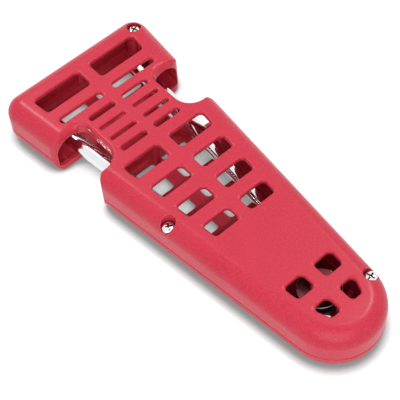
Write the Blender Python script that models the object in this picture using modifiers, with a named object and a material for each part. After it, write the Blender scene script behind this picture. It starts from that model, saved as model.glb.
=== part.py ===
"""A one-handed triangle: a bent steel rod held in a two-piece moulded case, with a swinging beater inside.

The case lies flat with its rear cover on z = 0, its head toward +Y and its tip toward -Y.
"""

import math

import bmesh
import bpy
from mathutils import Matrix, Vector

# Case
CASE_LENGTH = 0.208
CASE_TAPER = math.radians(6.22)
TIP_RADIUS = 0.0231
HEAD_CORNER_RADIUS = 0.0088
FRONT_DEPTH = 0.0164
REAR_DEPTH = 0.009
WALL = 0.002
PLATE = 0.002
FRONT_EDGE_ROUND = 0.0085
REAR_EDGE_ROUND = 0.0075

# Finger notches beside the neck
HEAD_LENGTH = 0.0385
NOTCH_LENGTH = 0.0281
NECK_HALF_WIDTH = 0.0208
NECK_ROOT_RADIUS = 0.0095
HEAD_ROOT_RADIUS = 0.004
SHOULDER_RADIUS = 0.0050
CHIN_RADIUS = 0.006
NOTCH_EDGE_ROUND = 0.0018
FRONT_LIP = 0.006
REAR_LIP = 0.0044
MOUTH_ARCH_RADIUS = 0.0065
MOUTH_RADIUS = 0.008
MOUTH_CROWN = 0.0038

# Windows and slots
WINDOW_SIDE_MARGIN = 0.0115
TIP_WINDOW_MARGIN = 0.011
WINDOW_CORNER = 0.0022
CENTRE_BAR_HALF = 0.0034
HEAD_WINDOW_INSET = 0.012
HEAD_WINDOW_DEPTH = 0.0107
HEAD_SLOT_INSET = 0.03105
HEAD_SLOT_WIDTH = 0.0037
NECK_SLOT_INSET = 0.0011
NECK_SLOT_PITCH = 0.00794
NECK_SLOT_COUNT = 4
NECK_SLOT_WIDTH = 0.0021
NECK_END_SLOT_WIDTH = 0.0031
NECK_SLOT_BAR_HALF = 0.0025
NECK_SLOT_MARGIN = 0.0033
ROW_INSET = 0.0054
FIRST_ROW_DEPTH = 0.0096
ROW_DEPTH = 0.0084
ROW_BAR = 0.0075
ROW_COUNT = 4
TIP_WINDOW_DEPTH = 0.0085
TIP_WINDOW_BAR = 0.0071
TIP_WINDOW_FROM_BEND = 0.008
TIP_WINDOW_COUNT = 2

# Windows of the rear cover where they differ from the front cover's
REAR_HEAD_MARGIN = 0.0158
REAR_HEAD_WINDOW_DEPTH = 0.0127
REAR_HEAD_STEP = 0.0105
REAR_HEAD_STEP_RUN = 0.003
REAR_FIRST_SLOT = NECK_SLOT_COUNT - 1
REAR_LAST_SLOT_SHIFT = 0.0031
REAR_ROW_SHIFT = 0.0014

# Triangle rod
ROD_RADIUS = 0.004
ROD_OVER_JOINT = 0.0024
APEX_BEND_RADIUS = 0.0113
APEX_BEND_INSET = 0.0319
ARM_ANGLE = math.radians(5.6)
ARM_END_INSET = 0.0175

# Rod mounts
SPINDLE_RADIUS = 0.003
POST_FOOT_RADIUS = 0.0039
GROMMET_FLANGE = 0.002
GROMMET_FLANGE_RADIUS = 0.0092
BEND_WASHER = 0.0006
BEND_WASHER_RADIUS = 0.010
PAD_INSET = 0.02015
PAD_LENGTH = 0.0065
PAD_HEIGHT = 0.010
PAD_LIP = 0.0034
FENCE = 0.0016

# Screws
SCREW_SHANK_RADIUS = 0.00145
SCREW_HEAD_RADIUS = 0.003
SCREW_HEAD_HEIGHT = 0.002
SCREW_DOME = 0.0008
SCREW_RECESS_RADIUS = 0.0036
SCREW_END_HEIGHT = 0.0052
SCREW_BOSS_RADIUS = 0.0046
CROSS_LENGTH = 0.0036
CROSS_WIDTH = 0.0008
CROSS_DEPTH = 0.0012
HEAD_SCREW_INSET = 0.0069
HEAD_SCREW_DEPTH = 0.0024
HEAD_SCREW_ANGLE = math.radians(18.0)
TIP_SCREW_INSET = 0.0041
TIP_SCREW_DEPTH = 0.003
TIP_SCREW_ANGLE = math.radians(-9.7)
SIDE_SCREW_INSET = 0.0036
SIDE_SCREW_DEPTH = 0.004
SIDE_SCREW_FROM_SHOULDER = 0.0421

# Beater
PIVOT_FROM_BEND = 0.0463
PIN_RADIUS = 0.0015
PIN_SEAT = 0.005
PIVOT_BOSS_RADIUS = 0.0036
HUB_RADIUS = 0.0038
HUB_HEIGHT = 0.0044
WASHER = 0.0005
BEATER_REACH = 0.020
BEATER_WIRE_RADIUS = 0.0013
BEATER_BALL_RADIUS = 0.005
BALL_SOCKET_DEPTH = 0.0035

# Inside supports
PILLAR_RADIUS = 0.0023
PILLAR_FROM_SHOULDER = 0.0011
HEAD_RIB = 0.002
HEAD_RIB_REACH = 0.006

# Clearances and facets
GAP = 0.0003
OVERSIZE = 0.003
SHARP = 0.0001
ARC_STEP = math.radians(14.0)
WINDOW_ARC_STEP = math.radians(30.0)
ROUND_SEGMENTS = 24
EDGE_ROUND_STEPS = 3
SMOOTH_ANGLE = math.radians(35.0)

# Places worked out from the sizes above
CASE_HEIGHT = REAR_DEPTH + FRONT_DEPTH
HEAD_END = CASE_LENGTH / 2
TIP_CENTRE = TIP_RADIUS - CASE_LENGTH / 2
SIDE_MEETING = TIP_CENTRE - TIP_RADIUS / math.sin(CASE_TAPER)
NOTCH_FAR = HEAD_END - HEAD_LENGTH
NOTCH_NEAR = NOTCH_FAR - NOTCH_LENGTH
APEX_CENTRE = APEX_BEND_INSET - CASE_LENGTH / 2
ARM_MEETING = APEX_CENTRE - APEX_BEND_RADIUS / math.sin(ARM_ANGLE)
ARM_END = HEAD_END - ARM_END_INSET
ROD_HEIGHT = REAR_DEPTH + ROD_OVER_JOINT
ROW_PITCH = ROW_DEPTH + ROW_BAR
PIVOT_Y = APEX_CENTRE + PIVOT_FROM_BEND
PAD_Y = HEAD_END - PAD_INSET - PAD_LENGTH / 2

parts = bpy.data.collections.new("one_handed_triangle")
cutters = bpy.data.collections.new("cutters")


def case_half_width(y):
    """Half the width of the case between its straight sides."""
    return (y - SIDE_MEETING) * math.tan(CASE_TAPER)


def arm_offset(y):
    """Distance of an arm's centre line from the middle of the case."""
    return (y - ARM_MEETING) * math.tan(ARM_ANGLE)


def bend(along, corner, leaving, radius, arc_step=ARC_STEP):
    """Points of a round bend at a corner, between two straight runs given by their directions."""
    turn = math.atan2(along.cross(leaving), along.dot(leaving))
    side = math.copysign(1.0, turn)
    start = corner - along * radius * math.tan(abs(turn) / 2)
    centre = start + side * radius * Vector((-along.y, along.x))
    steps = max(1, round(abs(turn) / arc_step))
    swings = [Matrix.Rotation(turn * step / steps, 2) for step in range(steps + 1)]
    return [centre + swing @ (start - centre) for swing in swings]


def rounded(corners, inset=0.0, arc_step=ARC_STEP):
    """Points of a closed outline, anticlockwise, drawn in by inset, with each corner's own radius."""
    edges = []
    for index, (x, y, _) in enumerate(corners):
        next_x, next_y, _ = corners[(index + 1) % len(corners)]
        along = Vector((next_x - x, next_y - y)).normalized()
        edges.append((Vector((x, y)) + inset * Vector((-along.y, along.x)), along))
    points = []
    for index, (_, _, radius) in enumerate(corners):
        before, along = edges[index - 1]
        after, leaving = edges[index]
        turn = along.cross(leaving)
        corner = before + along * ((after - before).cross(leaving) / turn)
        drawn_radius = max(radius - math.copysign(inset, turn), SHARP)
        points += bend(along, corner, leaving, drawn_radius, arc_step)
    return points


def mirrored(corners):
    """A right-hand list of corners, bottom to top, closed by its mirror image."""
    return corners + [(-x, y, radius) for x, y, radius in reversed(corners)]


def case_outline(inset=0.0):
    """The case seen from above without its notches."""
    tip = (0.0, SIDE_MEETING, TIP_RADIUS)
    right = (case_half_width(HEAD_END), HEAD_END, HEAD_CORNER_RADIUS)
    left = (-right[0], HEAD_END, HEAD_CORNER_RADIUS)
    return rounded([tip, right, left], inset)


def notch_outline(inset=0.0):
    """A larger outline that has the notches of the neck and lies just outside the case elsewhere."""
    outside = GAP / math.cos(CASE_TAPER)
    below = -HEAD_END - 2 * OVERSIZE
    beyond = HEAD_END + 2 * OVERSIZE
    shoulder = case_half_width(NOTCH_NEAR) + outside
    chin = case_half_width(NOTCH_FAR) + outside
    right = [
        (case_half_width(below) + outside, below, OVERSIZE),
        (shoulder, NOTCH_NEAR, SHOULDER_RADIUS),
        (NECK_HALF_WIDTH, NOTCH_NEAR, NECK_ROOT_RADIUS),
        (NECK_HALF_WIDTH, NOTCH_FAR, HEAD_ROOT_RADIUS),
        (chin, NOTCH_FAR, CHIN_RADIUS),
        (case_half_width(beyond) + outside, beyond, OVERSIZE),
    ]
    return rounded(mirrored(right), inset)


def window(inner, outer_near, outer_far, near, far, radius):
    """A window on the right side with its outer end along the case's side."""
    corners = [(inner, near), (outer_near, near), (outer_far, far), (inner, far)]
    return rounded([(x, y, radius) for x, y in corners], arc_step=WINDOW_ARC_STEP)


def side_window(near, far, margin=WINDOW_SIDE_MARGIN, radius=WINDOW_CORNER):
    """A window that keeps its margin from the case's side."""
    outer_near = case_half_width(near) - margin
    outer_far = case_half_width(far) - margin
    return window(CENTRE_BAR_HALF, outer_near, outer_far, near, far, radius)


def tip_window(near, far):
    """A window beside the tip's middle, whose outer end is drawn in as far as the round tip is."""
    reach = TIP_RADIUS - TIP_WINDOW_MARGIN
    drop = max(TIP_CENTRE - near, 0.0)
    drawn_in = reach - math.sqrt(reach ** 2 - drop ** 2)
    outer_near = case_half_width(near) - TIP_WINDOW_MARGIN - drawn_in
    outer_far = case_half_width(far) - TIP_WINDOW_MARGIN
    return window(CENTRE_BAR_HALF, outer_near, outer_far, near, far, WINDOW_CORNER)


def head_window():
    """The window on the right of the front cover's head."""
    far = HEAD_END - HEAD_WINDOW_INSET
    return side_window(far - HEAD_WINDOW_DEPTH, far)


def rear_head_window():
    """The window on the right of the rear cover's head, which is deeper beyond a step."""
    far = HEAD_END - HEAD_WINDOW_INSET
    near = far - REAR_HEAD_WINDOW_DEPTH
    shallow = far - HEAD_WINDOW_DEPTH
    corners = [
        (CENTRE_BAR_HALF, shallow),
        (REAR_HEAD_STEP - REAR_HEAD_STEP_RUN / 2, shallow),
        (REAR_HEAD_STEP + REAR_HEAD_STEP_RUN / 2, near),
        (case_half_width(near) - REAR_HEAD_MARGIN, near),
        (case_half_width(far) - REAR_HEAD_MARGIN, far),
        (CENTRE_BAR_HALF, far),
    ]
    return rounded([(x, y, WINDOW_CORNER) for x, y in corners], arc_step=WINDOW_ARC_STEP)


def head_slot():
    """The slot on the right of the front cover's head."""
    middle = HEAD_END - HEAD_SLOT_INSET
    half = HEAD_SLOT_WIDTH / 2
    return side_window(middle - half, middle + half, radius=half - SHARP)


def window_outlines(head, first_slot=0, last_slot_shift=0.0, row_shift=0.0):
    """Every window and slot of one cover, both sides, with its last slot and its rows moved toward the tip."""
    right = list(head)
    neck_end = NECK_HALF_WIDTH - NECK_SLOT_MARGIN
    last = NECK_SLOT_COUNT - 1
    for index in range(first_slot, NECK_SLOT_COUNT):
        half = (NECK_END_SLOT_WIDTH if index in (0, last) else NECK_SLOT_WIDTH) / 2
        middle = NOTCH_FAR - NECK_SLOT_INSET - index * NECK_SLOT_PITCH
        if index == last:
            middle -= last_slot_shift
        ends = (NECK_SLOT_BAR_HALF, neck_end, neck_end)
        right.append(window(*ends, middle - half, middle + half, half - SHARP))
    far = NOTCH_NEAR - ROW_INSET - row_shift
    right.append(side_window(far - FIRST_ROW_DEPTH, far))
    near = far - FIRST_ROW_DEPTH
    for _ in range(ROW_COUNT - 1):
        near -= ROW_PITCH
        right.append(side_window(near, near + ROW_DEPTH))
    far = APEX_CENTRE + TIP_WINDOW_FROM_BEND - row_shift
    for _ in range(TIP_WINDOW_COUNT):
        right.append(tip_window(far - TIP_WINDOW_DEPTH, far))
        far -= TIP_WINDOW_DEPTH + TIP_WINDOW_BAR
    left = [[Vector((-point.x, point.y)) for point in reversed(outline)] for outline in right]
    return right + left


def screw_places():
    """Plan position of each screw, a set distance inside the wall, and the depth of its head's top."""
    corner_x = case_half_width(HEAD_END - HEAD_CORNER_RADIUS) - HEAD_CORNER_RADIUS / math.cos(CASE_TAPER)
    corner = Vector((corner_x, HEAD_END - HEAD_CORNER_RADIUS))
    tip = Vector((0.0, TIP_CENTRE))
    side_y = NOTCH_NEAR - SIDE_SCREW_FROM_SHOULDER
    side_x = SIDE_SCREW_INSET / math.cos(CASE_TAPER) - case_half_width(side_y)
    reach = HEAD_CORNER_RADIUS - HEAD_SCREW_INSET
    tip_reach = TIP_RADIUS - TIP_SCREW_INSET
    head_place = corner + reach * Vector((math.cos(HEAD_SCREW_ANGLE), math.sin(HEAD_SCREW_ANGLE)))
    tip_place = tip + tip_reach * Vector((math.cos(TIP_SCREW_ANGLE), math.sin(TIP_SCREW_ANGLE)))
    return {
        "head_screw": (head_place, HEAD_SCREW_DEPTH),
        "side_screw": (Vector((side_x, side_y)), SIDE_SCREW_DEPTH),
        "tip_screw": (tip_place, TIP_SCREW_DEPTH),
    }


def screw_seat(depth):
    """Height of the face that a screw's head bears on, from the depth of the head's top."""
    return CASE_HEIGHT - depth - SCREW_HEAD_HEIGHT - GAP


def material(name, colour, roughness, metallic=0.0):
    """A plain surface."""
    surface = bpy.data.materials.new(name)
    surface.use_nodes = True
    shader = surface.node_tree.nodes["Principled BSDF"]
    shader.inputs["Base Color"].default_value = (*colour, 1.0)
    shader.inputs["Roughness"].default_value = roughness
    shader.inputs["Metallic"].default_value = metallic
    return surface


def weld(mesh):
    """Close a mesh's seams and turn its faces outward."""
    shape = bmesh.new()
    shape.from_mesh(mesh)
    bmesh.ops.remove_doubles(shape, verts=shape.verts, dist=SHARP / 100)
    bmesh.ops.recalc_face_normals(shape, faces=shape.faces)
    shape.to_mesh(mesh)
    shape.free()


def curve_to_mesh(curve_object):
    """Replace a curve object by the same shape as a welded mesh."""
    graph = bpy.context.evaluated_depsgraph_get()
    mesh = bpy.data.meshes.new_from_object(curve_object.evaluated_get(graph))
    weld(mesh)
    solid = bpy.data.objects.new(curve_object.name, mesh)
    solid.matrix_world = curve_object.matrix_world
    for collection in curve_object.users_collection:
        collection.objects.link(solid)
    name = curve_object.name
    bpy.data.objects.remove(curve_object)
    solid.name = name
    return solid


def slab(name, outlines, bottom, top, edge_round=0.0):
    """Flat outlines raised from bottom to top, with round upper and lower edges."""
    curve = bpy.data.curves.new(name, "CURVE")
    curve.dimensions = "2D"
    curve.fill_mode = "BOTH"
    curve.extrude = (top - bottom) / 2 - edge_round
    curve.bevel_depth = edge_round
    curve.bevel_resolution = EDGE_ROUND_STEPS
    curve.offset = -edge_round
    for outline in outlines:
        spline = curve.splines.new("POLY")
        spline.points.add(len(outline) - 1)
        for point, place in zip(spline.points, outline):
            point.co = (place.x, place.y, 0.0, 1.0)
        spline.use_cyclic_u = True
    shape = bpy.data.objects.new(name, curve)
    shape.location.z = (bottom + top) / 2
    cutters.objects.link(shape)
    bpy.context.view_layer.update()
    return curve_to_mesh(shape)


def round_posts(name, posts):
    """Upright round posts, each given by its plan position, radius, bottom and top."""
    shape = bmesh.new()
    for place, radius, bottom, top in posts:
        matrix = Matrix.Translation((place[0], place[1], (bottom + top) / 2))
        bmesh.ops.create_cone(
            shape, cap_ends=True, segments=ROUND_SEGMENTS,
            radius1=radius, radius2=radius, depth=top - bottom, matrix=matrix)
    return mesh_object(name, shape)


def blocks(name, boxes):
    """Square blocks, each given by its lowest and highest corner."""
    shape = bmesh.new()
    for low, high in boxes:
        low, high = Vector(low), Vector(high)
        size = Matrix.Diagonal((*(high - low), 1.0))
        bmesh.ops.create_cube(shape, size=1.0, matrix=Matrix.Translation((low + high) / 2) @ size)
    return mesh_object(name, shape)


def mesh_object(name, shape):
    """A cutter object made from a finished bmesh."""
    mesh = bpy.data.meshes.new(name)
    shape.to_mesh(mesh)
    shape.free()
    solid = bpy.data.objects.new(name, mesh)
    cutters.objects.link(solid)
    return solid


def turned(name, profile):
    """A shape turned about z from a profile of radius and height, closed unless it ends on the axis."""
    mesh = bpy.data.meshes.new(name)
    edges = [(index, index + 1) for index in range(len(profile) - 1)]
    if profile[0][0] > 0.0:
        edges.append((len(profile) - 1, 0))
    mesh.from_pydata([(radius, 0.0, height) for radius, height in profile], edges, [])
    solid = bpy.data.objects.new(name, mesh)
    screw = solid.modifiers.new("turn", "SCREW")
    screw.steps = ROUND_SEGMENTS
    screw.render_steps = ROUND_SEGMENTS
    screw.use_merge_vertices = True
    screw.merge_threshold = SHARP / 100
    cutters.objects.link(solid)
    return solid


def combine(solid, operation, *others, solver="EXACT"):
    """Join, cut or keep the common part of a solid with other solids, as modifiers on it."""
    for other in others:
        step = solid.modifiers.new(other.name, "BOOLEAN")
        step.operation = operation
        step.solver = solver
        step.object = other
    return solid


def shape_cover(cover, operation, *others):
    """Combine a cover with other solids by the solver that keeps its many coplanar faces closed."""
    return combine(cover, operation, *others, solver="MANIFOLD")


def finish(solid, surface):
    """Move a solid from the cutters to the parts and give it its material."""
    cutters.objects.unlink(solid)
    parts.objects.link(solid)
    solid.data.materials.clear()
    solid.data.materials.append(surface)
    return solid


def notched_block(name, bottom, top, inset, edge_round, notch_round):
    """A block of the case's outline with its notches."""
    block = slab(name, [case_outline(inset)], bottom, top, edge_round)
    spare = SHARP if notch_round else OVERSIZE
    notches = slab(name + "_notches", [notch_outline(inset)], bottom - spare, top + spare, notch_round)
    return shape_cover(block, "INTERSECT", notches)


def screw_bosses(bottom, top):
    """Posts round the screws."""
    return [(place, SCREW_BOSS_RADIUS, bottom, top) for place, _ in screw_places().values()]


def pad_fences(bottom, top):
    """Short walls on both sides of each corner pad, from the rod out to the case's wall."""
    boxes = []
    beyond = case_half_width(HEAD_END)
    for near in (PAD_Y - GAP - FENCE, PAD_Y + PAD_LENGTH + GAP):
        inner = arm_offset(near + FENCE) + ROD_RADIUS + 2 * GAP
        boxes.append(((inner, near, bottom), (beyond, near + FENCE, top)))
        boxes.append(((-beyond, near, bottom), (-inner, near + FENCE, top)))
    return boxes


def washer_stack():
    """Heights of the hub's lower face and of the two boss faces that carry it."""
    hub_low = ROD_HEIGHT - HUB_HEIGHT / 2
    rear_face = hub_low - WASHER - 2 * GAP
    front_face = hub_low + HUB_HEIGHT + WASHER + 2 * GAP
    return hub_low, rear_face, front_face


def grommet_ends():
    """Lower and upper face of the apex grommet."""
    half = ROD_RADIUS + GROMMET_FLANGE + 2 * GAP
    return ROD_HEIGHT - half, ROD_HEIGHT + half


def bend_washer_ends():
    """Lower and upper face of the washer on the grommet."""
    _, grommet_top = grommet_ends()
    return grommet_top + GAP, grommet_top + GAP + BEND_WASHER


def mouth_cutter(name, side):
    """A lying round post that arches the head's wall over a notch."""
    middle = (NECK_HALF_WIDTH + case_half_width(NOTCH_FAR) - WALL) / 2
    cutter = round_posts(name, [((0.0, 0.0), MOUTH_RADIUS, -OVERSIZE, WALL + OVERSIZE)])
    cutter.location = (side * middle, NOTCH_FAR, CASE_HEIGHT - MOUTH_CROWN - MOUTH_RADIUS)
    cutter.rotation_euler = (-math.pi / 2, 0.0, 0.0)
    return cutter


def front_cover(surface):
    """The deep half of the case, with its bosses, ribs, bores and windows."""
    top = CASE_HEIGHT
    mirror_low = REAR_DEPTH - FRONT_DEPTH
    inner_round = FRONT_EDGE_ROUND - WALL
    cover = notched_block("front_cover", mirror_low, top, 0.0, FRONT_EDGE_ROUND, NOTCH_EDGE_ROUND)
    lip = top - FRONT_LIP
    arch = min(MOUTH_ARCH_RADIUS, HEAD_CORNER_RADIUS - WALL - GAP)
    deep = slab("front_hollow", [case_outline(WALL)], mirror_low - OVERSIZE, lip, arch)
    upper = notched_block("front_upper_hollow", mirror_low, top - PLATE, WALL, inner_round, 0.0)
    mouths = [mouth_cutter("left_mouth", -1), mouth_cutter("right_mouth", 1)]
    shape_cover(cover, "DIFFERENCE", deep, upper, *mouths)

    inside = slab("front_inside", [case_outline(WALL / 2)], mirror_low, top - PLATE / 2,
                  FRONT_EDGE_ROUND - WALL / 2)
    bosses = round_posts("front_bosses", screw_bosses(0.0, top))
    rib = ((-HEAD_RIB / 2, HEAD_END - WALL - HEAD_RIB_REACH, 0.0), (HEAD_RIB / 2, HEAD_END, top))
    fences = blocks("front_fences", pad_fences(0.0, top) + [rib])
    combine(bosses, "INTERSECT", inside)
    combine(fences, "INTERSECT", inside)
    _, _, front_face = washer_stack()
    _, washer_top = bend_washer_ends()
    socket = washer_top + GAP
    root = top - PLATE / 2
    apex = (0.0, APEX_CENTRE)
    pivot = (0.0, PIVOT_Y)
    posts = round_posts("front_posts", [
        (apex, POST_FOOT_RADIUS, socket, root),
        (pivot, PIVOT_BOSS_RADIUS, front_face, root),
    ])
    shape_cover(cover, "UNION", bosses, fences, posts)

    above = top + OVERSIZE
    screws = screw_places().values()
    recesses = [(place, SCREW_RECESS_RADIUS, screw_seat(depth), above) for place, depth in screws]
    holes = [(place, SCREW_SHANK_RADIUS + GAP, 0.0, screw_seat(depth) + OVERSIZE / 2)
             for place, depth in screws]
    holes.append((apex, SPINDLE_RADIUS + GAP, 0.0, root - PLATE))
    holes.append((pivot, PIN_RADIUS + GAP, 0.0, front_face + PIN_SEAT))
    outlines = window_outlines([head_window(), head_slot()])
    windows = slab("front_windows", outlines, top - PLATE - OVERSIZE / 2, above)
    beyond = CASE_LENGTH
    joint = ((-beyond, -beyond, -beyond), (beyond, beyond, REAR_DEPTH + GAP / 2))
    shape_cover(cover, "DIFFERENCE", round_posts("front_recesses", recesses), round_posts("front_holes", holes),
                windows, blocks("front_joint", [joint]))
    return finish(cover, surface)


def rear_cover(surface):
    """The shallow half of the case, with the posts that carry the rod, the beater and the front plate."""
    mirror_top = 2 * REAR_DEPTH
    joint_height = REAR_DEPTH - GAP / 2
    cover = notched_block("rear_cover", 0.0, mirror_top, 0.0, REAR_EDGE_ROUND, NOTCH_EDGE_ROUND)
    hollow = notched_block("rear_hollow", PLATE, mirror_top + REAR_DEPTH, WALL, REAR_EDGE_ROUND - WALL, 0.0)
    lips = slab("rear_lips", [case_outline(WALL)], REAR_LIP, mirror_top + OVERSIZE)
    head = [rear_head_window()]
    outlines = window_outlines(head, REAR_FIRST_SLOT, REAR_LAST_SLOT_SHIFT, REAR_ROW_SHIFT)
    windows = slab("rear_windows", outlines, -OVERSIZE, PLATE + OVERSIZE / 2)
    shape_cover(cover, "DIFFERENCE", hollow, lips, windows)

    inside = slab("rear_inside", [case_outline(WALL / 2)], PLATE / 2, mirror_top + REAR_DEPTH,
                  REAR_EDGE_ROUND - WALL / 2)
    bosses = round_posts("rear_bosses", screw_bosses(0.0, mirror_top))
    fences = blocks("rear_fences", pad_fences(0.0, mirror_top))
    combine(bosses, "INTERSECT", inside)
    combine(fences, "INTERSECT", inside)
    shape_cover(cover, "UNION", bosses, fences)
    beyond = CASE_LENGTH
    joint = ((-beyond, -beyond, joint_height), (beyond, beyond, beyond))
    shape_cover(cover, "DIFFERENCE", blocks("rear_joint", [joint]))

    _, rear_face, _ = washer_stack()
    grommet_low, _ = grommet_ends()
    root = PLATE / 2
    apex = (0.0, APEX_CENTRE)
    pivot = (0.0, PIVOT_Y)
    pillar = (0.0, NOTCH_NEAR + PILLAR_FROM_SHOULDER)
    under_plate = CASE_HEIGHT - PLATE - GAP
    feet = round_posts("rear_feet", [
        (apex, POST_FOOT_RADIUS, root, grommet_low - GAP),
        (pivot, PIVOT_BOSS_RADIUS, root, rear_face),
        (pillar, PILLAR_RADIUS, root, under_plate),
    ])
    spindle = round_posts("rear_spindle", [(apex, SPINDLE_RADIUS, root, under_plate - PLATE)])
    shape_cover(cover, "UNION", feet, spindle)
    holes = [(place, SCREW_SHANK_RADIUS + GAP, SCREW_END_HEIGHT - GAP, mirror_top)
             for place, _ in screw_places().values()]
    holes.append((pivot, PIN_RADIUS + GAP, rear_face - PIN_SEAT, mirror_top))
    shape_cover(cover, "DIFFERENCE", round_posts("rear_holes", holes))
    return finish(cover, surface)


def rod_route():
    """Plan points of the rod's centre line, from the right arm's end round the bend to the left arm's end."""
    apex = Vector((0.0, ARM_MEETING))
    right_end = Vector((arm_offset(ARM_END), ARM_END))
    left_end = Vector((-arm_offset(ARM_END), ARM_END))
    down = (apex - right_end).normalized()
    up = (left_end - apex).normalized()
    return [right_end] + bend(down, apex, up, APEX_BEND_RADIUS) + [left_end]


def triangle_bar(surface):
    """The round rod, bent once at the tip, with its two arms open toward the head."""
    curve = bpy.data.curves.new("triangle_bar", "CURVE")
    curve.dimensions = "3D"
    curve.bevel_depth = ROD_RADIUS
    curve.bevel_resolution = EDGE_ROUND_STEPS + 2
    curve.use_fill_caps = True
    route = rod_route()
    spline = curve.splines.new("POLY")
    spline.points.add(len(route) - 1)
    for point, place in zip(spline.points, route):
        point.co = (place.x, place.y, 0.0, 1.0)
    rod = bpy.data.objects.new("triangle_bar", curve)
    rod.location.z = ROD_HEIGHT
    cutters.objects.link(rod)
    bpy.context.view_layer.update()
    return finish(curve_to_mesh(rod), surface)


def apex_grommet(surface):
    """A rubber spool that fills the rod's bend."""
    low, high = grommet_ends()
    bore = SPINDLE_RADIUS + GAP
    groove = APEX_BEND_RADIUS - ROD_RADIUS - GAP
    profile = [
        (bore, high), (GROMMET_FLANGE_RADIUS, high), (GROMMET_FLANGE_RADIUS, high - GROMMET_FLANGE),
        (groove, high - GROMMET_FLANGE), (groove, low + GROMMET_FLANGE),
        (GROMMET_FLANGE_RADIUS, low + GROMMET_FLANGE), (GROMMET_FLANGE_RADIUS, low), (bore, low),
    ]
    spool = turned("apex_grommet", profile)
    spool.location.y = APEX_CENTRE
    return finish(spool, surface)


def corner_pad(name, side, surface):
    """A rubber block between an arm of the rod and the case's side wall, grooved for the arm."""
    low = ROD_HEIGHT - PAD_HEIGHT / 2
    high = ROD_HEIGHT + PAD_HEIGHT / 2
    inner = arm_offset(PAD_Y + PAD_LENGTH) + PAD_LIP
    outer = case_half_width(HEAD_END)
    near, far = sorted((side * inner, side * outer))
    pad = blocks(name, [((near, PAD_Y, low), (far, PAD_Y + PAD_LENGTH, high))])
    room = slab(name + "_room", [case_outline(WALL + GAP)], low - OVERSIZE, high + OVERSIZE)
    middle = PAD_Y + PAD_LENGTH / 2
    groove = round_posts(name + "_groove", [((0.0, 0.0), ROD_RADIUS + GAP, -CASE_HEIGHT, CASE_HEIGHT)])
    groove.location = (side * arm_offset(middle), middle, ROD_HEIGHT)
    groove.rotation_euler = (-math.pi / 2, 0.0, -side * ARM_ANGLE)
    combine(pad, "INTERSECT", room)
    combine(pad, "DIFFERENCE", groove)
    return finish(pad, surface)


def case_screw(name, place, depth, surface):
    """A screw with a low domed head and a cross recess."""
    under_head = screw_seat(depth) + GAP
    top = under_head + SCREW_HEAD_HEIGHT
    profile = []
    for step in range(EDGE_ROUND_STEPS + 2):
        fall = math.radians(90.0) * step / (EDGE_ROUND_STEPS + 1)
        profile.append((SCREW_HEAD_RADIUS * math.sin(fall), top - SCREW_DOME * (1.0 - math.cos(fall))))
    profile += [
        (SCREW_HEAD_RADIUS, under_head), (SCREW_SHANK_RADIUS, under_head),
        (SCREW_SHANK_RADIUS, SCREW_END_HEIGHT), (0.0, SCREW_END_HEIGHT),
    ]
    screw = turned(name, profile)
    screw.location = (place.x, place.y, 0.0)
    floor = top - CROSS_DEPTH
    half, thin = CROSS_LENGTH / 2, CROSS_WIDTH / 2
    for arm, (reach_x, reach_y) in enumerate(((half, thin), (thin, half))):
        low = (place.x - reach_x, place.y - reach_y, floor)
        high = (place.x + reach_x, place.y + reach_y, top + OVERSIZE)
        combine(screw, "DIFFERENCE", blocks(f"{name}_recess_{arm}", [(low, high)]))
    return finish(screw, surface)


def beater(arm_surface, ball_surface):
    """The beater's hub and wire with the ball on its end, on an empty that stands on the pivot."""
    pivot = bpy.data.objects.new("beater_pivot", None)
    pivot.location = (0.0, PIVOT_Y, ROD_HEIGHT)
    parts.objects.link(pivot)
    wire_end = BEATER_REACH - BEATER_BALL_RADIUS + BALL_SOCKET_DEPTH
    to_ball = Matrix.Rotation(math.pi / 2, 4, "X")

    hub = round_posts("striker_arm", [((0.0, 0.0), HUB_RADIUS, -HUB_HEIGHT / 2, HUB_HEIGHT / 2)])
    start = (HUB_RADIUS + PIN_RADIUS) / 2
    wire = round_posts("beater_wire", [((0.0, 0.0), BEATER_WIRE_RADIUS, start, wire_end)])
    wire.data.transform(to_ball)
    bore = round_posts("beater_bore", [((0.0, 0.0), PIN_RADIUS + GAP, -HUB_HEIGHT, HUB_HEIGHT)])
    combine(hub, "UNION", wire)
    combine(hub, "DIFFERENCE", bore)

    shape = bmesh.new()
    bmesh.ops.create_uvsphere(
        shape, u_segments=ROUND_SEGMENTS, v_segments=ROUND_SEGMENTS // 2, radius=BEATER_BALL_RADIUS)
    ball = mesh_object("striker_ball", shape)
    ball.location.y = -BEATER_REACH
    socket = round_posts("ball_socket", [((0.0, 0.0), BEATER_WIRE_RADIUS + GAP, 0.0, wire_end + GAP)])
    socket.data.transform(to_ball)
    combine(ball, "DIFFERENCE", socket)

    for piece in (hub, wire, bore, ball, socket):
        piece.parent = pivot
    finish(hub, arm_surface)
    finish(ball, ball_surface)


def pivot_pin(surface):
    """The pin through the beater's hub, held in a blind bore of each cover."""
    _, rear_face, front_face = washer_stack()
    low = rear_face - PIN_SEAT + GAP
    high = front_face + PIN_SEAT - GAP
    return finish(round_posts("pivot_pin", [((0.0, PIVOT_Y), PIN_RADIUS, low, high)]), surface)


def washer(name, middle, bore, radius, ends, surface):
    """A thin ring round a pin or a spindle."""
    low, high = ends
    ring = turned(name, [(bore, high), (radius, high), (radius, low), (bore, low)])
    ring.location.y = middle
    return finish(ring, surface)


def hub_washer(name, low, surface):
    """A washer between the beater's hub and a cover's boss."""
    return washer(name, PIVOT_Y, PIN_RADIUS + GAP, PIVOT_BOSS_RADIUS, (low, low + WASHER), surface)


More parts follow.
